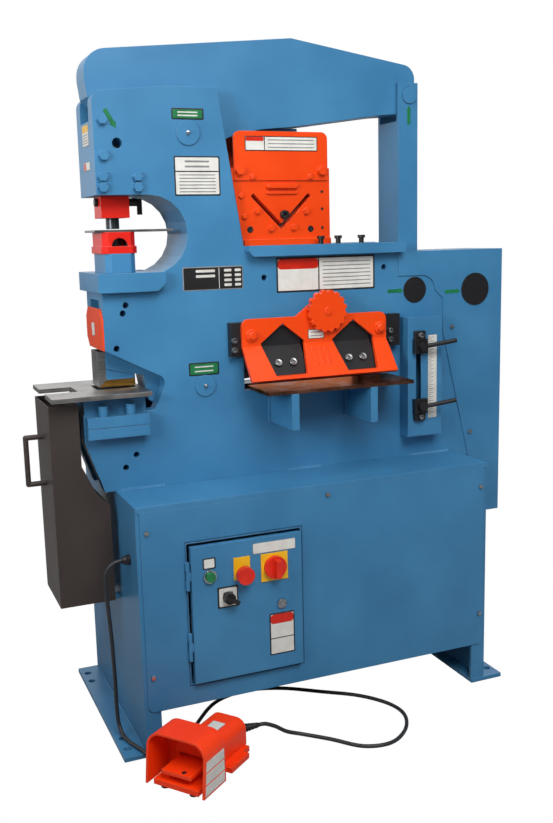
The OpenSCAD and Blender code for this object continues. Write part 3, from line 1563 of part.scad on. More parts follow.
// Free cord from the gland, down over the foot plate, under the stand and back to the foot switch
cord_route = [[-457.4, -183, 440], [-465.5, -183, 440], [-479.3, -183, 437.3], [-491, -183, 429.5],
    [-498.8, -182.7, 417.8], [-501.5, -182, 404], [-500.5, -179, 368], [-491.5, -166, 255], [-485, -148, 140],
    [-484, -142.5, 88], [-482.5, -142, 51.2], [-480.5, -146.8, 33.2], [-477.5, -160, 20],
    [-473.5, -178, 15.2], [-464, -212, 15.2], [-453, -242, 15.2], [-446.7, -261.8, 13.2],
    [-436.9, -278.9, 9.2], [-419.8, -288.7, 6], [-400.2, -288.7, 5], [-383.1, -278.9, 5], [-366, -260, 5],
    [-341, -224, 5], [-297, -158, 5], [-224, -78, 5], [-138, -52, 5], [-50, -77, 5], [36, -139, 5],
    [112, -199, 5], [158, -268, 5], [164, -332, 5], [130, -394, 5], [72, -432, 5], [8, -419, 5],
    [-45, -360, 5], [-96, -317, 8], [-132, -311, 20], [-160, -310.9, 39], [-184, -310.9, 50.6],
    [-200.3, -310.9, 52]];
cord_sides = 8;
cord_cuts = 2;
function spline(p, i, t) =
    let (n = len(p) - 1, a = p[max(i - 1, 0)], b = p[i], c = p[min(i + 1, n)], d = p[min(i + 2, n)])
    0.5 * (2 * b + (c - a) * t + (2 * a - 5 * b + 4 * c - d) * t ^ 2 + (3 * b - a - 3 * c + d) * t ^ 3);
cord_points = concat([for (i = [0:len(cord_route) - 2], k = [0:cord_cuts - 1]) spline(cord_route, i,
    k / cord_cuts)],
    [cord_route[len(cord_route) - 1]]);
cord_side_axis = [0.3, -0.6, 0.75];
function unit(v) = v / norm(v);
function ring(i) =
    let (n = len(cord_points) - 1, p = cord_points[i],
        t = unit(cord_points[min(i + 1, n)] - cord_points[max(i - 1, 0)]),
        u = unit(cross(t, cord_side_axis)), v = cross(t, u))
    [for (k = [0:cord_sides - 1]) let (a = 360 * k / cord_sides) p + cord_r * (u * cos(a) + v * sin(a))];
module foot_cord() {
    n = len(cord_points);
    s = cord_sides;
    color(black) polyhedron(
        points = [for (i = [0:n - 1]) each ring(i)],
        faces = concat([[for (k = [0:s - 1]) k]], [[for (k = [0:s - 1]) n * s - 1 - k]],
            [for (i = [0:n - 2], k = [0:s - 1]) let (m = (k + 1) % s)
                each [[i * s + k, (i + 1) * s + k, (i + 1) * s + m], [i * s + k, (i + 1) * s + m, i * s + m]]]));
}

stand_frame();
stand_top_plate();
stand_panels();
front_side_plate();
rear_side_plate();
frame_spacers();
ram_guide_block();
pivot_pins();
fasteners();
die_table();
die_holder();
die();
punch_guards();
gauge_plate();
clamp_knobs();
notcher_guard();
notcher_table();
notcher_die_block();
scrap_bin();
angle_shear_housing();
angle_shear_blade();
shear_upper_blade();
shear_lower_blade();
shear_table();
table_brackets();
holddown_brackets();
holddown_casting();
holddown_wheel();
holddown_feet();
cylinder_guard();
cylinder_front_cover();
access_plugs();
stroke_housing();
upper_stop();
lower_stop();
upper_lever();
lower_lever();
control_enclosure();
control_door();
door_plates();
start_button();
estop_button();
selector_knob();
disconnect_handle();
door_latch();
hydraulic_tank();
pump_motor();
cylinder_barrel();
cylinder_rod();
upper_arm();
punch_ram();
punch();
link_channel();
lower_arm();
notcher_punch();
foot_switch_base();
foot_switch_shield();
foot_pedal();
cord_fittings();
foot_cord();
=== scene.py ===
import math

import bmesh
import bpy
from mathutils import Matrix, Vector


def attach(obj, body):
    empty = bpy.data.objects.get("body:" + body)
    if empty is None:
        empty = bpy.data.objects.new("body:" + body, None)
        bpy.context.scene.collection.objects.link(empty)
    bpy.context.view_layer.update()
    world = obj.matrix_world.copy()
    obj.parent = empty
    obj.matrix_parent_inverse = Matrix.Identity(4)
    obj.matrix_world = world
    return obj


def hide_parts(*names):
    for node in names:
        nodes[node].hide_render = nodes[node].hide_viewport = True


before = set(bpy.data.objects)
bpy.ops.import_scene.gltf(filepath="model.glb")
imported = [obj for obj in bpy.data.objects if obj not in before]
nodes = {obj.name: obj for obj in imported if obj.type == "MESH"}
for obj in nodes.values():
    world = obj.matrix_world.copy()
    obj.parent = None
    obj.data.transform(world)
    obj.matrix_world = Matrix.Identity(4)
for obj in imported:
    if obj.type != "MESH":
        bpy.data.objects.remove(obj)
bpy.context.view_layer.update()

# Camera: a tripod view from the front left, a little above table height, as such a machine is usually shown.
# The angles, the distance and the lens were solved from the stand's edges and the frame's thickness.
VIEW_AZIMUTH = math.radians(-22.526)
VIEW_ELEVATION = math.radians(10.275)
VIEW_ROLL = math.radians(-1.376)
VIEW_PLACE = Vector((-0.9288, -2.2157, 1.1381))
LENS_MM = 42.675
SENSOR_MM = 36.0
camera_data = bpy.data.cameras.new("camera")
camera_data.lens = LENS_MM
camera_data.sensor_width = SENSOR_MM
camera_data.clip_end = 100.0
camera = bpy.data.objects.new("camera", camera_data)
bpy.context.scene.collection.objects.link(camera)
level_right = Vector((math.cos(VIEW_AZIMUTH), math.sin(VIEW_AZIMUTH), 0))
view_back = Vector((math.sin(VIEW_AZIMUTH) * math.cos(VIEW_ELEVATION),
                    -math.cos(VIEW_AZIMUTH) * math.cos(VIEW_ELEVATION), math.sin(VIEW_ELEVATION)))
level_up = view_back.cross(level_right)
view_right = math.cos(VIEW_ROLL) * level_right + math.sin(VIEW_ROLL) * level_up
view_up = math.cos(VIEW_ROLL) * level_up - math.sin(VIEW_ROLL) * level_right
camera.matrix_world = Matrix((view_right, view_up, view_back)).transposed().to_4x4()
camera.location = VIEW_PLACE
bpy.context.scene.camera = camera
bpy.context.scene.view_settings.view_transform = "Standard"

# Stand: folded sheet-steel ends on two foot plates, a thick top plate, and panels screwed on front and back.
# It is welded, sprayed and stoved in a medium steel-blue enamel, and short weld runs hold the frame on it.
MM = 0.001


def linear(hex_colour):
    values = [int(hex_colour[i:i + 2], 16) / 255 for i in (1, 3, 5)]
    return [v / 12.92 if v <= 0.04045 else ((v + 0.055) / 1.055) ** 2.4 for v in values] + [1.0]


def node(tree, kind, links=None, **settings):
    made = tree.nodes.new(kind)
    for key, value in settings.items():
        setattr(made, key, value)
    for socket, source in (links or {}).items():
        if isinstance(source, bpy.types.NodeSocket):
            tree.links.new(source, made.inputs[socket])
        else:
            made.inputs[socket].default_value = source
    return made


def new_material(name):
    material = bpy.data.materials.new(name)
    material.use_nodes = True
    material.node_tree.nodes.clear()
    return material, material.node_tree


def ramp(tree, factor, low, high, low_hex, high_hex):
    made = node(tree, "ShaderNodeValToRGB", {"Fac": factor})
    first, last = made.color_ramp.elements
    first.position, last.position = low, high
    first.color, last.color = linear(low_hex), linear(high_hex)
    return made.outputs["Color"]


# Stove enamel gives the eye an even gloss with a fine orange peel of about 2 mm, a slow drift of tone between
# the sprayed passes, edges that the paint rounds off, and a pale edge colour that is partly wear from
# handling and partly a painted highlight along the edges.
def stove_enamel(name, body_hex, drift_hex, edge_scuff_and_highlight_hex, roughness=0.36, edge_scuff_and_highlight_amount=0.4):
    material, tree = new_material(name)
    surface = node(tree, "ShaderNodeNewGeometry")
    place = surface.outputs["Position"]
    cloud = node(tree, "ShaderNodeTexNoise", {"Vector": place, "Scale": 1 / (160 * MM), "Detail": 4.0})
    coat = ramp(tree, cloud.outputs["Fac"], 0.35, 0.68, drift_hex, body_hex)
    edge = node(tree, "ShaderNodeBevel", {"Radius": 1.6 * MM}, samples=4)
    turn = node(tree, "ShaderNodeVectorMath", {0: edge.outputs["Normal"], 1: surface.outputs["Normal"]},
                operation="DOT_PRODUCT")
    # The pale colour on the rounded edges is partly handling wear and partly a painted highlight along them.
    edge_scuff_and_highlight_mask = node(tree, "ShaderNodeMapRange", {"Value": turn.outputs["Value"], "From Min": 0.98,
                                             "From Max": 0.80, "To Min": 0.0, "To Max": edge_scuff_and_highlight_amount})
    chips = node(tree, "ShaderNodeTexNoise", {"Vector": place, "Scale": 1 / (9 * MM), "Detail": 5.0})
    spots = node(tree, "ShaderNodeMath", {0: edge_scuff_and_highlight_mask.outputs["Result"], 1: chips.outputs["Fac"]},
                 operation="MULTIPLY")
    tone = node(tree, "ShaderNodeMix", {"Factor": spots.outputs[0], "A": coat, "B": linear(edge_scuff_and_highlight_hex)},
                data_type="RGBA")
    peel = node(tree, "ShaderNodeTexNoise", {"Vector": place, "Scale": 1 / (2.2 * MM), "Detail": 2.0})
    sheen = node(tree, "ShaderNodeMapRange", {"Value": cloud.outputs["Fac"], "To Min": roughness - 0.05,
                                               "To Max": roughness + 0.05})
    bump = node(tree, "ShaderNodeBump", {"Height": peel.outputs["Fac"], "Normal": edge.outputs["Normal"],
                                          "Strength": 0.22, "Distance": 0.35 * MM})
    shader = node(tree, "ShaderNodeBsdfPrincipled", {"Base Color": tone.outputs[2], "IOR": 1.42,
                                                      "Roughness": sheen.outputs["Result"],
                                                      "Normal": bump.outputs["Normal"]})
    node(tree, "ShaderNodeOutputMaterial", {"Surface": shader.outputs["BSDF"]})
    return material


def dress(material, *names):
    for name in names:
        nodes[name].data.materials.clear()
        nodes[name].data.materials.append(material)


def loft(bm, rings, slot=0):
    loops = [[bm.verts.new(point) for point in ring] for ring in rings]
    count = len(loops[0])
    for low, high in zip(loops, loops[1:]):
        for i in range(count):
            j = (i + 1) % count
            bm.faces.new((low[i], low[j], high[j], high[i])).material_index = slot
    for cap in (loops[0], loops[-1]):
        bm.faces.new(cap).material_index = slot


def add_piece(name, bm, materials, body):
    bmesh.ops.recalc_face_normals(bm, faces=bm.faces)
    mesh = bpy.data.meshes.new(name)
    bm.to_mesh(mesh)
    bm.free()
    for material in materials:
        mesh.materials.append(material)
    piece = bpy.data.objects.new(name, mesh)
    bpy.context.scene.collection.objects.link(piece)
    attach(piece, body)
    return piece


BEAD_SIDES = 10
BEAD_RIPPLE = 6
BEAD_STEPS = 4
BEAD_SWELL = 0.14
BEAD_START = 0.35
BEAD_GROWTH = 0.2


def weld_bead(name, start, end, leg):
    start, end = Vector(start), Vector(end)
    along = (end - start).normalized()
    steps = round((end - start).length / BEAD_RIPPLE * BEAD_STEPS)
    turn = along.to_track_quat("Z", "Y")
    rings = []
    for k in range(steps + 1):
        swell = 1 - BEAD_SWELL + BEAD_SWELL * math.cos(2 * math.pi * k / BEAD_STEPS)
        taper = min(1, BEAD_START + min(k, steps - k) * BEAD_GROWTH)
        centre = start.lerp(end, k / steps)
        rings.append([(centre + turn @ Vector((math.cos(a), math.sin(a), 0)) * leg * swell * taper) * MM
                      for a in [2 * math.pi * i / BEAD_SIDES for i in range(BEAD_SIDES)]])
    bm = bmesh.new()
    loft(bm, rings)
    add_piece(name, bm, [blue_enamel], "machine_frame")


# The last colour is the pale edge colour: partly worn paint, partly a painted highlight on the edges.
blue_enamel = stove_enamel("steel_blue_stove_enamel", "#3f7ea9", "#36729c", "#a9c2d4")
dress(blue_enamel, "stand_frame", "stand_top_plate", "stand_panels")
STAND_TOP = 573
PLATE_FRONT = -87
PLATE_BACK = 73
FRAME_WELD_LEG = 5
for number, (left, right) in enumerate([(-434, -326), (-27, 73), (320, 440)]):
    for side, y in [("front", PLATE_FRONT), ("back", PLATE_BACK)]:
        weld_bead(f"frame_weld_{side}_{number}", (left, y, STAND_TOP), (right, y, STAND_TOP), FRAME_WELD_LEG)
FOOT_TOP = 10
STAND_END = 445
FOOT_WELD_LEG = 4
FOOT_WELD_REACH = 200
for name, x in [("left", -STAND_END), ("right", STAND_END)]:
    weld_bead(f"foot_weld_{name}", (x, -FOOT_WELD_REACH, FOOT_TOP), (x, FOOT_WELD_REACH, FOOT_TOP),
              FOOT_WELD_LEG)


# Hydraulic unit: a welded oil tank with a grey electric motor on it, both inside the stand behind the panels.
# The tank is stoved in black enamel, and the motor has a turned metal housing.
# Ground steel gives the eye a cool metal with fine grinding lines, cloudy oil marks and a broad highlight.
def ground_steel(name, light_hex, dark_hex, roughness, lay=(60, 0.9, 0.9), stain_hex=None, stain_low=0.62,
                 reflection_tint_hex="#ffffff"):
    material, tree = new_material(name)
    place = node(tree, "ShaderNodeNewGeometry").outputs["Position"]
    stretch = node(tree, "ShaderNodeMapping", {"Vector": place, "Scale": [1 / (size * MM) for size in lay]})
    lines = node(tree, "ShaderNodeTexNoise", {"Vector": stretch.outputs["Vector"], "Scale": 1.0,
                                               "Detail": 3.0})
    cloud = node(tree, "ShaderNodeTexNoise", {"Vector": place, "Scale": 1 / (45 * MM), "Detail": 5.0})
    mixed = node(tree, "ShaderNodeMath", {0: lines.outputs["Fac"], 1: cloud.outputs["Fac"]},
                 operation="MULTIPLY")
    colour = ramp(tree, mixed.outputs[0], 0.16, 0.36, dark_hex, light_hex)
    rough = node(tree, "ShaderNodeMapRange", {"Value": lines.outputs["Fac"], "From Min": 0.3, "From Max": 0.7,
                                               "To Min": roughness - 0.08, "To Max": roughness + 0.08})
    edge = node(tree, "ShaderNodeBevel", {"Radius": 0.8 * MM}, samples=4)
    bump = node(tree, "ShaderNodeBump", {"Height": lines.outputs["Fac"], "Normal": edge.outputs["Normal"],
                                          "Strength": 0.12, "Distance": 0.1 * MM})
    # A reflection tint other than white colours every reflection of the metal, a painted reflection of a
    # coloured part nearby.
    settings = {"Base Color": colour, "Metallic": 1.0, "Roughness": rough.outputs["Result"],
                "Specular Tint": linear(reflection_tint_hex), "Normal": bump.outputs["Normal"]}
    if stain_hex:
        rust = node(tree, "ShaderNodeMapRange", {"Value": cloud.outputs["Fac"], "From Min": stain_low - 0.14,
                                                  "From Max": stain_low + 0.1, "To Min": 0.0, "To Max": 0.85})
        tone = node(tree, "ShaderNodeMix", {"Factor": rust.outputs["Result"], "A": colour,
                                            "B": linear(stain_hex)}, data_type="RGBA")
        dull = node(tree, "ShaderNodeMapRange", {"Value": rust.outputs["Result"], "To Min": 1.0,
                                                  "To Max": 0.35})
        settings |= {"Base Color": tone.outputs[2], "Metallic": dull.outputs["Result"]}
    shader = node(tree, "ShaderNodeBsdfPrincipled", settings)
    node(tree, "ShaderNodeOutputMaterial", {"Surface": shader.outputs["BSDF"]})
    return material


black_enamel = stove_enamel("black_stove_enamel", "#1d1d20", "#161618", "#6d6d70", roughness=0.42)
motor_housing = ground_steel("turned_motor_housing", "#9a9c9e", "#76787b", 0.45, lay=(6, 6, 40))
dress(black_enamel, "hydraulic_tank")
dress(motor_housing, "pump_motor")


# Control box: a folded steel enclosure let into the stand's front, with the switches on its hinged door.
# Behind the door, contactors, terminals and a transformer sit on two rails between wiring ducts.
# Moulded plastic gives the eye a soft-edged gloss over a fine spark-eroded grain from the mould.
def moulded_plastic(name, body_hex, deep_hex, roughness):
    material, tree = new_material(name)
    place = node(tree, "ShaderNodeNewGeometry").outputs["Position"]
    grain = node(tree, "ShaderNodeTexNoise", {"Vector": place, "Scale": 1 / (0.8 * MM), "Detail": 2.0})
    cloud = node(tree, "ShaderNodeTexNoise", {"Vector": place, "Scale": 1 / (30 * MM), "Detail": 3.0})
    colour = ramp(tree, cloud.outputs["Fac"], 0.35, 0.65, deep_hex, body_hex)
    edge = node(tree, "ShaderNodeBevel", {"Radius": 1.5 * MM}, samples=4)
    bump = node(tree, "ShaderNodeBump", {"Height": grain.outputs["Fac"], "Normal": edge.outputs["Normal"],
                                          "Strength": 0.15, "Distance": 0.1 * MM})
    shader = node(tree, "ShaderNodeBsdfPrincipled", {"Base Color": colour, "Roughness": roughness,
                                                      "IOR": 1.49, "Normal": bump.outputs["Normal"]})
    node(tree, "ShaderNodeOutputMaterial", {"Surface": shader.outputs["BSDF"]})
    return material


def round_rect(left, right, low, high, radius):
    outline = []
    for x, z, first in [(right - radius, high - radius, 0), (left + radius, high - radius, 90),
                        (left + radius, low + radius, 180), (right - radius, low + radius, 270)]:
        for step in (0, 22.5, 45, 67.5, 90):
            a = math.radians(first + step)
            outline.append((x + radius * math.cos(a), z + radius * math.sin(a)))
    return outline


def slab(bm, outline, back, front, slot=0, place=Matrix.Identity(4), chamfer=0.25):
    middle = Vector((sum(p[0] for p in outline), 0, sum(p[1] for p in outline))) / len(outline)
    rings = []
    for y, inset in [(back, 0), (front + chamfer, 0), (front, chamfer)]:
        ring = []
        for x, z in outline:
            point = Vector((x, 0, z))
            point += (middle - point).normalized() * inset
            ring.append(place @ (point + Vector((0, y, 0))) * MM)
        rings.append(ring)
    loft(bm, rings, slot)


def rows(left, right, low, high, count, height):
    pitch = (high - low) / count
    return [(left, right, low + pitch * (i + 0.5) - height / 2, low + pitch * (i + 0.5) + height / 2)
            for i in range(count)]


SIGN_SINK = 0.3
SIGN_PROUD = 0.6
SIGN_CORNER = 2.5
FIELD_SINK = 0.1
FIELD_CORNER = 1.5
PRINT_SINK = 0.05
PRINT_PROUD = 0.15
PRINT_CORNER_SHARE = 0.3


def sign(name, box, face, rim, materials, body, marks=(), place=Matrix.Identity(4)):
    left, right, low, high = box
    rim_face = face - SIGN_PROUD
    field_face = rim_face - PRINT_PROUD
    bm = bmesh.new()
    slab(bm, round_rect(left, right, low, high, SIGN_CORNER), face + SIGN_SINK, rim_face, 0, place)
    slab(bm, round_rect(left + rim, right - rim, low + rim, high - rim, FIELD_CORNER), rim_face + FIELD_SINK,
         field_face, 1, place, PRINT_SINK)
    for m_left, m_right, m_low, m_high, finish in marks:
        corner = min(m_right - m_left, m_high - m_low) * PRINT_CORNER_SHARE
        slab(bm, round_rect(m_left, m_right, m_low, m_high, corner), field_face + PRINT_SINK,
             field_face - PRINT_PROUD, finish, place, PRINT_SINK)
    add_piece(name, bm, materials, body)


black_plastic = moulded_plastic("black_moulded_plastic", "#1b1b1d", "#131315", 0.4)
red_plastic = moulded_plastic("red_moulded_plastic", "#dc2a14", "#cf200d", 0.3)
green_plastic = moulded_plastic("green_moulded_plastic", "#1c7a48", "#14683b", 0.3)
yellow_plate = moulded_plastic("yellow_printed_plate", "#f0bb1e", "#e6ae15", 0.38)
pale_plate = moulded_plastic("pale_label_stock", "#d9d8d2", "#cdccc6", 0.42)
grey_print = moulded_plastic("grey_label_print", "#8d8e8e", "#7e7f80", 0.45)
satin_chrome = ground_steel("satin_chrome_bezel", "#d9dadc", "#b6b8bb", 0.22, lay=(4, 4, 4))
zinc_plate = ground_steel("zinc_plated_latch", "#b9bcc0", "#8f9296", 0.3, lay=(5, 5, 5))
dress(blue_enamel, "control_enclosure", "control_door")
dress(zinc_plate, "door_latch")
dress(green_plastic, "start_button")
dress(red_plastic, "estop_button", "disconnect_handle")
dress(black_plastic, "selector_knob")

START_X, START_Z, BEZEL_REACH = -289, 403, 17
SELECTOR_X, SELECTOR_Z, SELECTOR_REACH = -248, 349, 26
plates = nodes["door_plates"].data
plates.materials.clear()
for finish in (yellow_plate, black_plastic, satin_chrome):
    plates.materials.append(finish)
for face in plates.polygons:
    x, z = face.center.x / MM, face.center.z / MM
    if math.hypot(x - START_X, z - START_Z) < BEZEL_REACH:
        face.material_index = 2
    elif abs(x - SELECTOR_X) < SELECTOR_REACH and abs(z - SELECTOR_Z) < SELECTOR_REACH:
        face.material_index = 1
    else:
        face.material_index = 0

DOOR_FACE = -266.5
TAG_FACE = -268.5
sign("start_legend", (-304, -274, 419, 445), DOOR_FACE, 3, [black_plastic, pale_plate], "control_door")
sign("supply_plate", (-186, -82, 437, 462), DOOR_FACE, 1, [grey_print, pale_plate], "control_door")
sign("door_label", (-150, -88, 190, 290), DOOR_FACE, 3,
     [black_plastic, pale_plate, red_plastic, black_plastic], "control_door",
     [(-147, -91, 265, 287, 2), (-147, -91, 229, 231, 3)])
SELECTOR_FIELD = 21
SELECTOR_HUB = 15
bm = bmesh.new()
hub = []
outer = round_rect(-SELECTOR_FIELD, SELECTOR_FIELD, -SELECTOR_FIELD, SELECTOR_FIELD, 3)
for x, z in outer:
    hub.append((x * SELECTOR_HUB / math.hypot(x, z), z * SELECTOR_HUB / math.hypot(x, z)))
rings = []
tag_back, tag_front = TAG_FACE + 0.1, TAG_FACE - 0.2
for outline, y in [(hub, tag_back), (outer, tag_back), (outer, tag_front), (hub, tag_front)]:
    rings.append([bm.verts.new(((SELECTOR_X + x) * MM, y * MM, (SELECTOR_Z + z) * MM)) for x, z in outline])
for low, high in zip(rings, rings[1:] + rings[:1]):
    for i in range(len(outer)):
        j = (i + 1) % len(outer)
        bm.faces.new((low[i], low[j], high[j], high[i]))
add_piece("selector_legend", bm, [pale_plate], "control_door")

BOX_BACK = -123.5
GEAR_LAP = 1
RAIL_FACE = BOX_BACK - 9
RAIL_H = 35
DUCT_H = 22
CONTACTOR_W = 45
CONTACTOR_FACE = RAIL_FACE - 72
TERMINALS = 15
TERMINAL_W = 8.5
TERMINAL_PITCH = 9.5
bm = bmesh.new()
slab(bm, round_rect(-322, -76, 165, 465, 4), BOX_BACK + GEAR_LAP / 2, BOX_BACK - 2)
for low in (372, 242):
    slab(bm, round_rect(-312, -86, low, low + RAIL_H, 1), BOX_BACK - GEAR_LAP, RAIL_FACE)
for low in (312, 436):
    slab(bm, round_rect(-316, -82, low, low + DUCT_H, 1.5), BOX_BACK - GEAR_LAP, BOX_BACK - 42, 3)
for left in (-300, -248, -196):
    slab(bm, round_rect(left, left + CONTACTOR_W, 350, 428, 4), RAIL_FACE + GEAR_LAP, CONTACTOR_FACE, 1,
         chamfer=2)
    slab(bm, round_rect(left + 7, left + CONTACTOR_W - 7, 366, 412, 3), CONTACTOR_FACE + GEAR_LAP,
         CONTACTOR_FACE - 9, 2, chamfer=1.5)
for left in [-306 + k * TERMINAL_PITCH for k in range(TERMINALS)]:
    slab(bm, round_rect(left, left + TERMINAL_W, 236, 282, 1), RAIL_FACE + GEAR_LAP, RAIL_FACE - 38, 2)
slab(bm, round_rect(-150, -92, 220, 300, 3), RAIL_FACE + GEAR_LAP, RAIL_FACE - 70, 1, chamfer=3)
add_piece("control_gear", bm, [zinc_plate, black_plastic, pale_plate, grey_print], "machine_frame")

# Frame: two thick steel side plates held apart by spacers and bored for the pivot pins, with the ram guide.
# The plates are flame cut, ground at the edges and enamelled in the same blue, and so are their bolts.
# Label plates and arrows on the front are printed stock, glued on; panel and cover screws are zinc plated.
dress(blue_enamel, "front_side_plate", "rear_side_plate", "frame_spacers", "ram_guide_block", "pivot_pins",
      "fasteners")
PANEL_SCREW_FRONT = -230
COVER_SCREW_LEFT = 400
bolts = nodes["fasteners"].data
bolts.materials.append(zinc_plate)
for face in bolts.polygons:
    x, y = face.center.x / MM, face.center.y / MM
    if y < PANEL_SCREW_FRONT or x > COVER_SCREW_LEFT:
        face.material_index = 1


def turned(bm, centre, axis, profile, slot=0, sides=24):
    turn = Vector(axis).to_track_quat("Z", "Y")
    rings = []
    for radius, along, *six in profile:
        ring = []
        for k in range(sides):
            a = 2 * math.pi * k / sides
            reach = radius / math.cos((a + math.pi / 6) % (math.pi / 3) - math.pi / 6) if six else radius
            spot = Vector((reach * math.cos(a), reach * math.sin(a), along))
            ring.append((Vector(centre) + turn @ spot) * MM)
        rings.append(ring)
    loft(bm, rings, slot)


ARROW_HEAD_SHARE = 0.8
ARROW_SHAFT_SHARE = 0.62


def arrow(name, tail, tip, width, face, body):
    tail, tip = Vector(tail), Vector(tip)
    ahead = (tip - tail).normalized()
    side = Vector((-ahead.y, ahead.x)) * width / 2
    shaft = side * ARROW_SHAFT_SHARE
    neck = tip - ahead * width * ARROW_HEAD_SHARE
    outline = [tail - shaft, neck - shaft, neck - side, tip, neck + side, neck + shaft, tail + shaft]
    bm = bmesh.new()
    slab(bm, [(p.x, p.y) for p in outline], face + SIGN_SINK, face - SIGN_PROUD)
    add_piece(name, bm, [green_plastic], body)


RULE = 2.2
sign("capacity_plate", (-277, -170, 1228, 1314), PLATE_FRONT, 3,
     [black_plastic, pale_plate, black_plastic, grey_print], "machine_frame",
     [(-274, -173, 1279.5, 1282, 2)] + [(*row, 3) for row in rows(-266, -181, 1233, 1277, 6, RULE)]
     + [(*row, 3) for row in rows(-252, -195, 1286, 1308, 2, 4)])
sign("data_plate", (-267, -122, 1017, 1070), PLATE_FRONT, 2, [grey_print, black_plastic, pale_plate],
     "machine_frame",
     [(*row, 2) for row in rows(-236, -190, 1043, 1066, 2, 6)]
     + [(*row, 2) for row in rows(-168, -150, 1022, 1066, 4, 6)]
     + [(*row, 2) for row in rows(-142, -127, 1022, 1066, 4, 6)] + [(-181, -179.5, 1020, 1067, 2)])
sign("shear_plate", (-38, 222, 1003, 1085), PLATE_FRONT, 4,
     [black_plastic, pale_plate, black_plastic, grey_print, red_plastic], "machine_frame",
     [(70, 73, 1007, 1081, 2), (-34, 70, 1057, 1081, 4)]
     + [(*row, 3) for row in rows(82, 210, 1012, 1076, 7, RULE)])
for name, box in [("upper", (-278, -204, 1392, 1416)), ("lower", (-261, -188, 822, 852))]:
    left, right, low, high = box
    sign(f"{name}_pivot_label", box, PLATE_FRONT, 3, [black_plastic, green_plastic, pale_plate],
         "machine_frame",
         [(*row, 2) for row in rows(left + 14, right - 14, low + 5, high - 5, 2, 3)])
LEFT_SIDE = Matrix.Rotation(math.radians(-90), 4, "Z")
NOSE_FACE = -453
sign("nose_label", (-20, 42, 1338, 1384), NOSE_FACE, 1.5, [grey_print, pale_plate, yellow_plate, grey_print],
     "machine_frame",
     [(-18, 40, 1368, 1382, 2)] + [(*row, 3) for row in rows(-12, 34, 1342, 1365, 4, RULE)], LEFT_SIDE)
sign("ram_guard_label", (-20, 42, 1286, 1305), NOSE_FACE, 1.5, [grey_print, pale_plate, red_plastic],
     "machine_frame", [(-18, 4, 1288, 1303, 2)], LEFT_SIDE)
arrow("ram_arrow", (-426, 1410), (-403, 1371), 15, PLATE_FRONT, "machine_frame")
arrow("link_pin_arrow", (258, 994), (303, 994), 14, PLATE_FRONT, "machine_frame")
NIPPLE = [(4.5, -1), (4.5, 2), (3, 2.6), (1.9, 3), (1.9, 6), (2.7, 6.6), (2.9, 8), (2, 9.4), (0.6, 9.8)]
PIN_FACE = -90
for name, x, z in [("upper", -242, 1364), ("lower", -223, 798)]:
    bm = bmesh.new()
    turned(bm, (x, PIN_FACE, z), (0, -1, 0), NIPPLE, sides=16)
    add_piece(f"{name}_grease_nipple", bm, [zinc_plate], "machine_frame")

# Arms, link and cylinder: flame-cut steel levers between the side plates, joined by a folded channel link.
# They are painted with the frame; the cylinder pushes the lower arm through a hard-chromed rod.
# Hard chrome gives the eye a near mirror with faint polishing rings.
hard_chrome = ground_steel("hard_chrome_plate", "#e3e4e6", "#c9cbce", 0.14, lay=(8, 8, 1))
dress(blue_enamel, "upper_arm", "lower_arm", "link_channel", "cylinder_barrel")
dress(hard_chrome, "cylinder_rod")
LINK_FRONT = -58
arrow("link_arrow", (335, 1396), (335, 1441), 14, LINK_FRONT, "link")

# Cylinder cover: a folded sheet guard over the cylinder end, with a front cover screwed on in front of it.
# Both are in the blue enamel; two black plugs close the pin holes, and an arrow shows each one.
dress(blue_enamel, "cylinder_guard", "cylinder_front_cover")
dress(black_enamel, "access_plugs")
COVER_FACE = -90
arrow("cylinder_pin_arrow", (422, 986), (467, 986), 14, COVER_FACE, "machine_frame")

# Punch station: a ground ram in its guide over a die table, with a red stripper guard and a red die guard.
# Punch and die are hardened tool steel, ram and gauge plate bright ground steel, and the knobs black plastic.
# Tool steel gives the eye a darker, bluish metal with a fine ground lay.
red_enamel = stove_enamel("red_stove_enamel", "#d81c0c", "#c91608", "#dba79f")
tool_steel = ground_steel("hardened_tool_steel", "#6d7074", "#4b4e52", 0.34, lay=(0.9, 20, 0.9))
bright_steel = ground_steel("bright_ground_steel", "#a2a3a4", "#77797b", 0.34)
dress(blue_enamel, "die_table", "die_holder")
dress(red_enamel, "punch_guards")
dress(tool_steel, "punch", "die")
dress(bright_steel, "punch_ram", "gauge_plate")
dress(black_plastic, "clamp_knobs")

# Angle shear: an orange bolted housing with a V opening, a steel V blade behind it and a sheet guard on top.
# The guard carries one label plate; the set screws in the housing and the one in the V are blackened.
orange_enamel = stove_enamel("orange_stove_enamel", "#e84607", "#de3e04", "#f2b08c", roughness=0.32)
dress(orange_enamel, "angle_shear_housing")
dress(tool_steel, "angle_shear_blade")
GUARD_FACE = -74
sign("angle_guard_label", (-103, 79, 1328, 1361), GUARD_FACE, 2,
     [black_plastic, pale_plate, black_plastic, grey_print, red_plastic], "machine_frame",
     [(-56, -54, 1330, 1359, 2), (-101, -57, 1350, 1359, 4)]
     + [(*row, 3) for row in rows(-46, 70, 1332, 1357, 3, RULE)])
SET_SCREW = [(5, -1), (5, 0.8), (4.6, 1.2), (2.4, 1.2, "hex"), (2.2, 0.4, "hex"), (0.05, 0.4)]
HOUSING_FACE = -70
bm = bmesh.new()
for x, z, scale in [(-94, 1151, 1.5), (60, 1150, 1.5), (91, 1236, 0.7), (91, 1196, 0.7), (91, 1152, 0.7)]:
    turned(bm, (x, HOUSING_FACE, z), (0, -1, 0), [(r * scale, h, *six) for r, h, *six in SET_SCREW])
VEE_SCREW = [(10.5, -1), (10.5, 8), (9.4, 9.2), (5.6, 9.2), (4.6, 9.2, "hex"), (4.6, 4, "hex"), (0.3, 4)]
turned(bm, (-8, HOUSING_FACE, 1184), (0, -1, 0), VEE_SCREW)
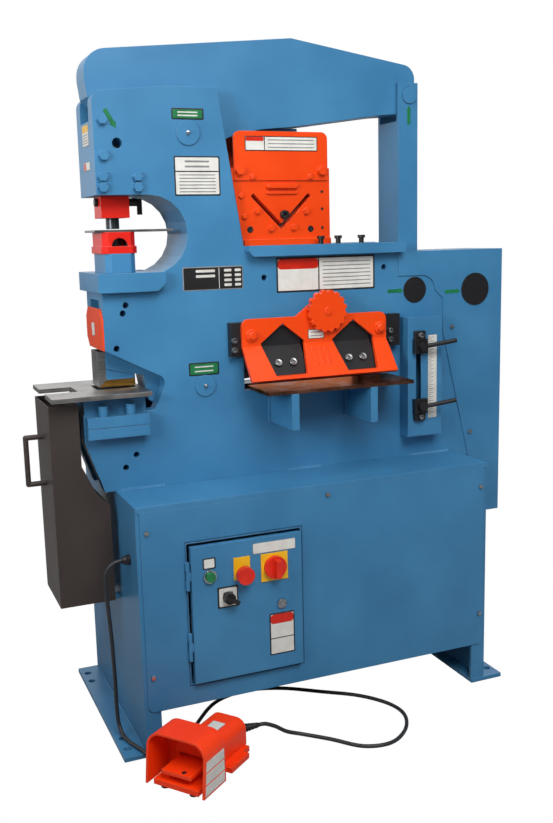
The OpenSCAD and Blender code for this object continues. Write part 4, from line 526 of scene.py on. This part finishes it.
add_piece("angle_set_screws", bm, [black_plastic], "machine_frame")
HEX_HEAD = [(6, -1, "hex"), (6, 4, "hex"), (5, 5), (0.2, 5)]
bm = bmesh.new()
slab(bm, round_rect(-51, 27, 1244, 1254, 4.5), HOUSING_FACE + 1, HOUSING_FACE - 9, chamfer=2)
slab(bm, round_rect(-51, 27, 1231, 1237, 2.8), HOUSING_FACE + 1, HOUSING_FACE - 5, chamfer=1.5)
for x, y, z in [(-86, GUARD_FACE, 1270), (59, GUARD_FACE, 1270), (-114, HOUSING_FACE, 1228),
                (-108, HOUSING_FACE, 1181)]:
    turned(bm, (x, y, z), (0, -1, 0), HEX_HEAD)
add_piece("angle_ribs_and_bolts", bm, [orange_enamel], "machine_frame")

# Flat-bar shear: a table on two angle brackets, blades let into the frame and the lower arm, and an orange
# cast hold-down between black brackets, whose handwheel brings two black feet down on the bar.
# The table is hot-rolled plate that has browned, and the feet are fixed by bright countersunk screws.
# The orange reflection tint on the table is a painted reflection of the orange hold-down above it.
rolled_steel = ground_steel("hot_rolled_steel_plate", "#8d6353", "#674536", 0.27, stain_hex="#5c3526",
                            reflection_tint_hex="#f09e75")
dress(rolled_steel, "shear_table")
dress(blue_enamel, "table_brackets")
dress(tool_steel, "shear_upper_blade", "shear_lower_blade")
dress(orange_enamel, "holddown_casting", "holddown_wheel")
dress(black_enamel, "holddown_brackets", "holddown_feet")
HOLD_FACE = -119
sign("holddown_label", (26, 68, 893, 916), HOLD_FACE, 1.5, [black_plastic, pale_plate, grey_print],
     "machine_frame", [(*row, 2) for row in rows(32, 62, 896, 913, 2, RULE)])
SLOPE_OUT = Vector((0, -77, 60)).normalized()
COUNTERSUNK = [(9.5, -1), (9.5, 1.2), (8.6, 2.2), (5, 1.4), (4.2, 1.6), (2.6, 1.6, "hex"), (2.6, -0.6, "hex"),
               (0.2, -0.6)]
FOOT_SCREW_Y, FOOT_SCREW_Z = -138, 845
bm = bmesh.new()
for x in (-59, -21, 124, 162):
    turned(bm, (x, FOOT_SCREW_Y, FOOT_SCREW_Z), SLOPE_OUT, COUNTERSUNK)
add_piece("foot_screws", bm, [bright_steel], "holddown_feet")
BOSS = [(15, -1), (15, 4), (13.5, 5.5), (9.5, 5.5), (8.4, 5.5, "hex"), (8.4, 11, "hex"), (7.4, 12), (0.2, 12)]
BOSS_Z = 910
bm = bmesh.new()
for x in (-117, 218):
    turned(bm, (x, HOLD_FACE, BOSS_Z), (0, -1, 0), BOSS)
add_piece("holddown_bosses", bm, [orange_enamel], "machine_frame")
hold_slope = Matrix.Translation((0, HOLD_FACE, 884)) @ Matrix.Rotation(math.radians(-38), 4, "X")
RIB_HALF = 5
bm = bmesh.new()
for x in (32, 48, 64):
    slab(bm, round_rect(x - RIB_HALF, x + RIB_HALF, -64, -10, 4.5), 1, -3, 0, hold_slope, 1.5)
add_piece("holddown_ribs", bm, [orange_enamel], "machine_frame")
CAP_SCREW = [(7, -1), (7, 7), (6.3, 8), (3.5, 8, "hex"), (3.5, 3, "hex"), (0.3, 3)]
BRACKET_FACE = HOLD_FACE + 10
bm = bmesh.new()
for x, z in [(-157, 900), (-157, 878), (252, 900), (252, 878)]:
    turned(bm, (x, BRACKET_FACE, z), (0, -1, 0), CAP_SCREW)
add_piece("bracket_screws", bm, [bright_steel], "machine_frame")

# Notcher: a die block clamped on the frame's jaw, a slotted table round it, and a punch on the lower arm.
# The table is ground plate with brown stains; the blade strip is brass-coloured; the guard is orange.
# Brass gives the eye a warm brown-gold metal, dulled by handling.
table_steel = ground_steel("ground_table_plate", "#b3b2b0", "#85837f", 0.36, stain_hex="#8a6b56",
                           stain_low=0.72)
old_brass = ground_steel("tarnished_brass", "#a8813f", "#7b5c2c", 0.34)
dress(blue_enamel, "notcher_die_block")
dress(table_steel, "notcher_table")
dress(old_brass, "notcher_punch")
STRIP_TOP = 822
tool = nodes["notcher_punch"].data
tool.materials.append(bright_steel)
for face in tool.polygons:
    face.material_index = 1 if face.center.z / MM > STRIP_TOP + 0.5 else 0
dress(orange_enamel, "notcher_guard")
NOTCH_GUARD_FACE = -457
sign("notcher_guard_label", (-16, 12, 921, 951), NOTCH_GUARD_FACE, 1, [grey_print, pale_plate],
     "machine_frame", place=LEFT_SIDE)

# Stroke control: a folded blue housing with a slot, in which two black stops are clamped by black levers.
# A pale scale with printed graduations is fixed beside the slot; bright cap screws hold the end tabs.
dress(blue_enamel, "stroke_housing")
dress(black_enamel, "upper_stop", "lower_stop", "upper_lever", "lower_lever")
STROKE_FACE = -127
SCALE_LOW, SCALE_HIGH, SCALE_STEP = 678, 880, 5
ticks = []
for i in range((SCALE_HIGH - SCALE_LOW) // SCALE_STEP + 1):
    z = SCALE_LOW + i * SCALE_STEP
    ticks.append((352, 366 if i % 2 == 0 else 360, z - 0.5, z + 0.5, 2))
sign("stroke_scale", (350, 376, 674, 884), STROKE_FACE, 0.8, [grey_print, pale_plate, black_plastic],
     "machine_frame", ticks)
TAB_FACE = -136
for name, low, high, screw_z in [("upper_stop", 872, 896, 885), ("lower_stop", 670, 694, 681)]:
    bm = bmesh.new()
    slab(bm, round_rect(308, 339, low, high, 4), STROKE_FACE - 0.3, TAB_FACE, chamfer=1.2)
    turned(bm, (323.5, TAB_FACE, screw_z), (0, -1, 0), CAP_SCREW, 1)
    add_piece(f"{name}_tab", bm, [black_enamel, bright_steel], name)

# Scrap bin: a tall folded sheet box hung under the notcher, with a round bar handle, in dark brown enamel.
# It is worn by the offcuts and has a satin surface.
brown_enamel = stove_enamel("dark_brown_stove_enamel", "#403733", "#372f2c", "#7a6f68", roughness=0.48)
dress(brown_enamel, "scrap_bin")

# Foot switch: an orange-red cast base and hood over a pedal, standing on black rubber feet.
# Pale labels lie on the hood's right cheek and on top of the switch body; a black disc in the pedal's hole
# paints the shade inside it.
switch_enamel = stove_enamel("orange_red_switch_enamel", "#fd400a", "#f43805", "#f2b08c", roughness=0.42)
dress(switch_enamel, "foot_switch_base", "foot_switch_shield", "foot_pedal")
RUBBER_TOP = 8
base = nodes["foot_switch_base"].data
base.materials.append(black_plastic)
for face in base.polygons:
    if face.center.z / MM < RUBBER_TOP - 0.5:
        face.material_index = 1
PEDAL_TOP = 44
# A flat black disc in the pedal's hole is painted shade standing for the dark inside of the hole.
PEDAL_HOLE_SHADE_DISC = [(5.4, -1), (5.4, 0.3), (4.8, 0.7), (3.6, 0.7), (3.2, 0.1), (0.2, 0.1)]
bm = bmesh.new()
turned(bm, (-410, -418, PEDAL_TOP), (0, 0, 1), PEDAL_HOLE_SHADE_DISC)
add_piece("pedal_hole_shade_disc", bm, [black_plastic], "foot_pedal")
switch_place = Matrix.Translation((-433, -419, 0)) @ Matrix.Rotation(math.radians(38), 4, "Z")
CHEEK_FACE = -74
HOOD_SLOPE = math.tan(math.radians(6))
HOOD_FRONT = 5
HOOD_BACK = 79
bm = bmesh.new()
for low, high in [(12, 34), (37, 60), (63, 85)]:
    front_low, front_high = [HOOD_FRONT + (z - RUBBER_TOP) * HOOD_SLOPE for z in (low, high)]
    slab(bm, [(front_low, low), (front_high, high), (HOOD_BACK, high), (HOOD_BACK, low)],
         CHEEK_FACE + SIGN_SINK, CHEEK_FACE - SIGN_PROUD, 0, switch_place)
add_piece("hood_labels", bm, [pale_plate], "machine_frame")
body_top = switch_place @ Matrix.Rotation(math.radians(-90), 4, "X")
BODY_TOP = -80
sign("switch_label", (132, 176, -18, 14), BODY_TOP, 1, [grey_print, pale_plate], "machine_frame",
     place=body_top)


# Foot-switch cord: a round rubber cable of 9 mm, from the gland in the stand's left end down over the foot
# plate, under the stand and round in one loop on the floor to the strain relief at the foot switch's back.
# Extruded rubber gives the eye a matt black skin with a faint bloom.
def vulcanised_rubber():
    material, tree = new_material("vulcanised_rubber")
    place = node(tree, "ShaderNodeNewGeometry").outputs["Position"]
    skin = node(tree, "ShaderNodeTexNoise", {"Vector": place, "Scale": 1 / (2.5 * MM), "Detail": 3.0})
    tone = ramp(tree, skin.outputs["Fac"], 0.3, 0.7, "#17181b", "#2c2e32")
    bump = node(tree, "ShaderNodeBump", {"Height": skin.outputs["Fac"], "Strength": 0.15,
                                          "Distance": 0.2 * MM})
    shader = node(tree, "ShaderNodeBsdfPrincipled", {"Base Color": tone, "Roughness": 0.5, "IOR": 1.52,
                                                      "Normal": bump.outputs["Normal"]})
    node(tree, "ShaderNodeOutputMaterial", {"Surface": shader.outputs["BSDF"]})
    return material


CORD_DIAMETER = 9 * MM
CORD_ROUTE = [(-457.4, -183, 440), (-465.5, -183, 440), (-479.3, -183, 437.3), (-491, -183, 429.5),
              (-498.8, -182.7, 417.8), (-501.5, -182, 404), (-500.5, -179, 368), (-491.5, -166, 255),
              (-485, -148, 140), (-484, -142.5, 88), (-482.5, -142, 51.2), (-480.5, -146.8, 33.2),
              (-477.5, -160, 20), (-473.5, -178, 15.2), (-464, -212, 15.2), (-453, -242, 15.2),
              (-446.7, -261.8, 13.2), (-436.9, -278.9, 9.2), (-419.8, -288.7, 6), (-400.2, -288.7, 5),
              (-383.1, -278.9, 5), (-366, -260, 5), (-341, -224, 5), (-297, -158, 5), (-224, -78, 5),
              (-138, -52, 5), (-50, -77, 5), (36, -139, 5), (112, -199, 5), (158, -268, 5),
              (164, -332, 5), (130, -394, 5), (72, -432, 5), (8, -419, 5), (-45, -360, 5), (-96, -317, 8),
              (-132, -311, 20), (-160, -310.9, 39), (-184, -310.9, 50.6), (-200.3, -310.9, 52)]
CORD_STEPS = 6


def smooth_route(points, steps):
    spots = [Vector(p) for p in points]
    last = len(spots) - 1
    line = []
    for i in range(last):
        a, b, c, d = spots[max(i - 1, 0)], spots[i], spots[i + 1], spots[min(i + 2, last)]
        for k in range(steps):
            t = k / steps
            line.append(0.5 * (2 * b + (c - a) * t + (2 * a - 5 * b + 4 * c - d) * t ** 2
                               + (3 * b - a - 3 * c + d) * t ** 3))
    return line + [spots[last]]


def tube_along(name, line, radius):
    curve = bpy.data.curves.new(name, "CURVE")
    curve.dimensions = "3D"
    curve.bevel_depth = radius
    curve.bevel_resolution = 5
    curve.use_fill_caps = True
    spline = curve.splines.new("POLY")
    spline.points.add(len(line) - 1)
    for spot, point in zip(spline.points, line):
        spot.co = (*point, 1)
    tube = bpy.data.objects.new(name, curve)
    bpy.context.scene.collection.objects.link(tube)
    return tube


cord_line = [p * MM for p in smooth_route(CORD_ROUTE, CORD_STEPS)]
foot_cord = tube_along("foot_cord_cable", cord_line, CORD_DIAMETER / 2)
foot_cord.data.materials.append(vulcanised_rubber())
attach(foot_cord, "machine_frame")
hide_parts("foot_cord")

# Cord fittings: a nylon gland with a hexagon nut in the stand's end, and a ribbed, tapered strain relief on
# the switch. Both are moulded in black and grip the cable.
GLAND = [(12, 0), (12, 3), (10.4, 3, "hex"), (10.4, 9, "hex"), (10, 10), (9.6, 14), (7.5, 17), (4.8, 18),
         (4.8, 12)]
RELIEF = [(10, -12), (10, 9)]
RIB_PITCH = 8
RIB_GROOVE = 1.2
for start in (9, 17, 25, 33):
    crest = 10.6 - start * 0.12
    RELIEF += [(crest - RIB_GROOVE, start), (crest - RIB_GROOVE, start + 2.5), (crest, start + 2.8),
               (crest - 0.5, start + RIB_PITCH)]
RELIEF += [(5.4, 43), (5, 45)]
bm = bmesh.new()
turned(bm, (-445, -183, 440), (-1, 0, 0), GLAND)
turned(bm, switch_place @ Vector((214, -30, 52)), (1, 0, 0), RELIEF)
fittings = add_piece("cord_gland_and_relief", bm, [black_plastic], "machine_frame")
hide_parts("cord_fittings")


# Floor and light: a pale seamless studio floor, with soft boxes high in front, overhead, high on the left and
# low behind, and a small gridded one at the height of the throat. Floor and backdrop show plain white to the
# camera, and the paper behind the machine brightens its gloss.
def studio_floor():
    material, tree = new_material("studio_floor_paper")
    path = node(tree, "ShaderNodeLightPath")
    paper = node(tree, "ShaderNodeBsdfDiffuse", {"Color": linear("#b4b4b4"), "Roughness": 0.9})
    glow = node(tree, "ShaderNodeEmission", {"Color": linear("#ffffff"), "Strength": 1.0})
    mix = node(tree, "ShaderNodeMixShader", {0: path.outputs["Is Camera Ray"], 1: paper.outputs[0],
                                             2: glow.outputs[0]})
    node(tree, "ShaderNodeOutputMaterial", {"Surface": mix.outputs[0]})
    return material


FLOOR_REACH = 30.0
floor_mesh = bpy.data.meshes.new("floor")
floor_mesh.from_pydata([(-FLOOR_REACH, -FLOOR_REACH, 0), (FLOOR_REACH, -FLOOR_REACH, 0),
                        (FLOOR_REACH, FLOOR_REACH, 0), (-FLOOR_REACH, FLOOR_REACH, 0)], [], [(0, 1, 2, 3)])
floor_mesh.materials.append(studio_floor())
floor = bpy.data.objects.new("floor", floor_mesh)
bpy.context.scene.collection.objects.link(floor)

world = bpy.data.worlds.new("studio")
world.use_nodes = True
bpy.context.scene.world = world
sky = world.node_tree
sky.nodes.clear()
sky_path = node(sky, "ShaderNodeLightPath")
toward = node(sky, "ShaderNodeSeparateXYZ", {0: node(sky, "ShaderNodeTexCoord").outputs["Generated"]})
paper = node(sky, "ShaderNodeMapRange", {"Value": toward.outputs["Y"], "From Min": -0.1, "From Max": 0.6,
                                          "To Min": 0.16, "To Max": 1.0})
ambient = node(sky, "ShaderNodeBackground", {"Color": linear("#ffffff"), "Strength": 0.22})
behind = node(sky, "ShaderNodeBackground", {"Color": linear("#ffffff"), "Strength": paper.outputs["Result"]})
backdrop = node(sky, "ShaderNodeBackground", {"Color": linear("#ffffff"), "Strength": 1.0})
mirrored = node(sky, "ShaderNodeMath", {0: sky_path.outputs["Is Glossy Ray"],
                                         1: sky_path.outputs["Is Transmission Ray"]}, operation="MAXIMUM")
gloss_mix = node(sky, "ShaderNodeMixShader", {0: mirrored.outputs[0], 1: ambient.outputs[0],
                                              2: behind.outputs[0]})
sky_mix = node(sky, "ShaderNodeMixShader", {0: sky_path.outputs["Is Camera Ray"], 1: gloss_mix.outputs[0],
                                            2: backdrop.outputs[0]})
node(sky, "ShaderNodeOutputWorld", {"Surface": sky_mix.outputs[0]})

MACHINE_MIDDLE = Vector((0, 0, 0.8))


def soft_box(name, place, size, watts, aim=MACHINE_MIDDLE, spread=180, in_gloss=True):
    light = bpy.data.lights.new(name, "AREA")
    light.shape = "RECTANGLE"
    light.size, light.size_y = size
    light.energy = watts
    light.spread = math.radians(spread)
    lamp = bpy.data.objects.new(name, light)
    lamp.location = place
    lamp.rotation_euler = (aim - Vector(place)).to_track_quat("-Z", "Y").to_euler()
    lamp.visible_glossy = in_gloss
    bpy.context.scene.collection.objects.link(lamp)


soft_box("key_light", (-0.2, -2.7, 3.2), (2.0, 1.6), 100)
soft_box("top_light", (0.0, -0.2, 4.0), (2.4, 2.4), 25)
soft_box("left_light", (-2.3, -0.5, 2.6), (1.4, 1.4), 20, Vector((-0.4, 0, 1.2)))
soft_box("throat_light", (-2.0, -1.3, 1.5), (0.6, 0.6), 2.2, Vector((-0.25, -0.1, 1.15)), 50)
soft_box("back_light", (0.6, 3.6, 1.3), (2.0, 1.6), 45, in_gloss=False)
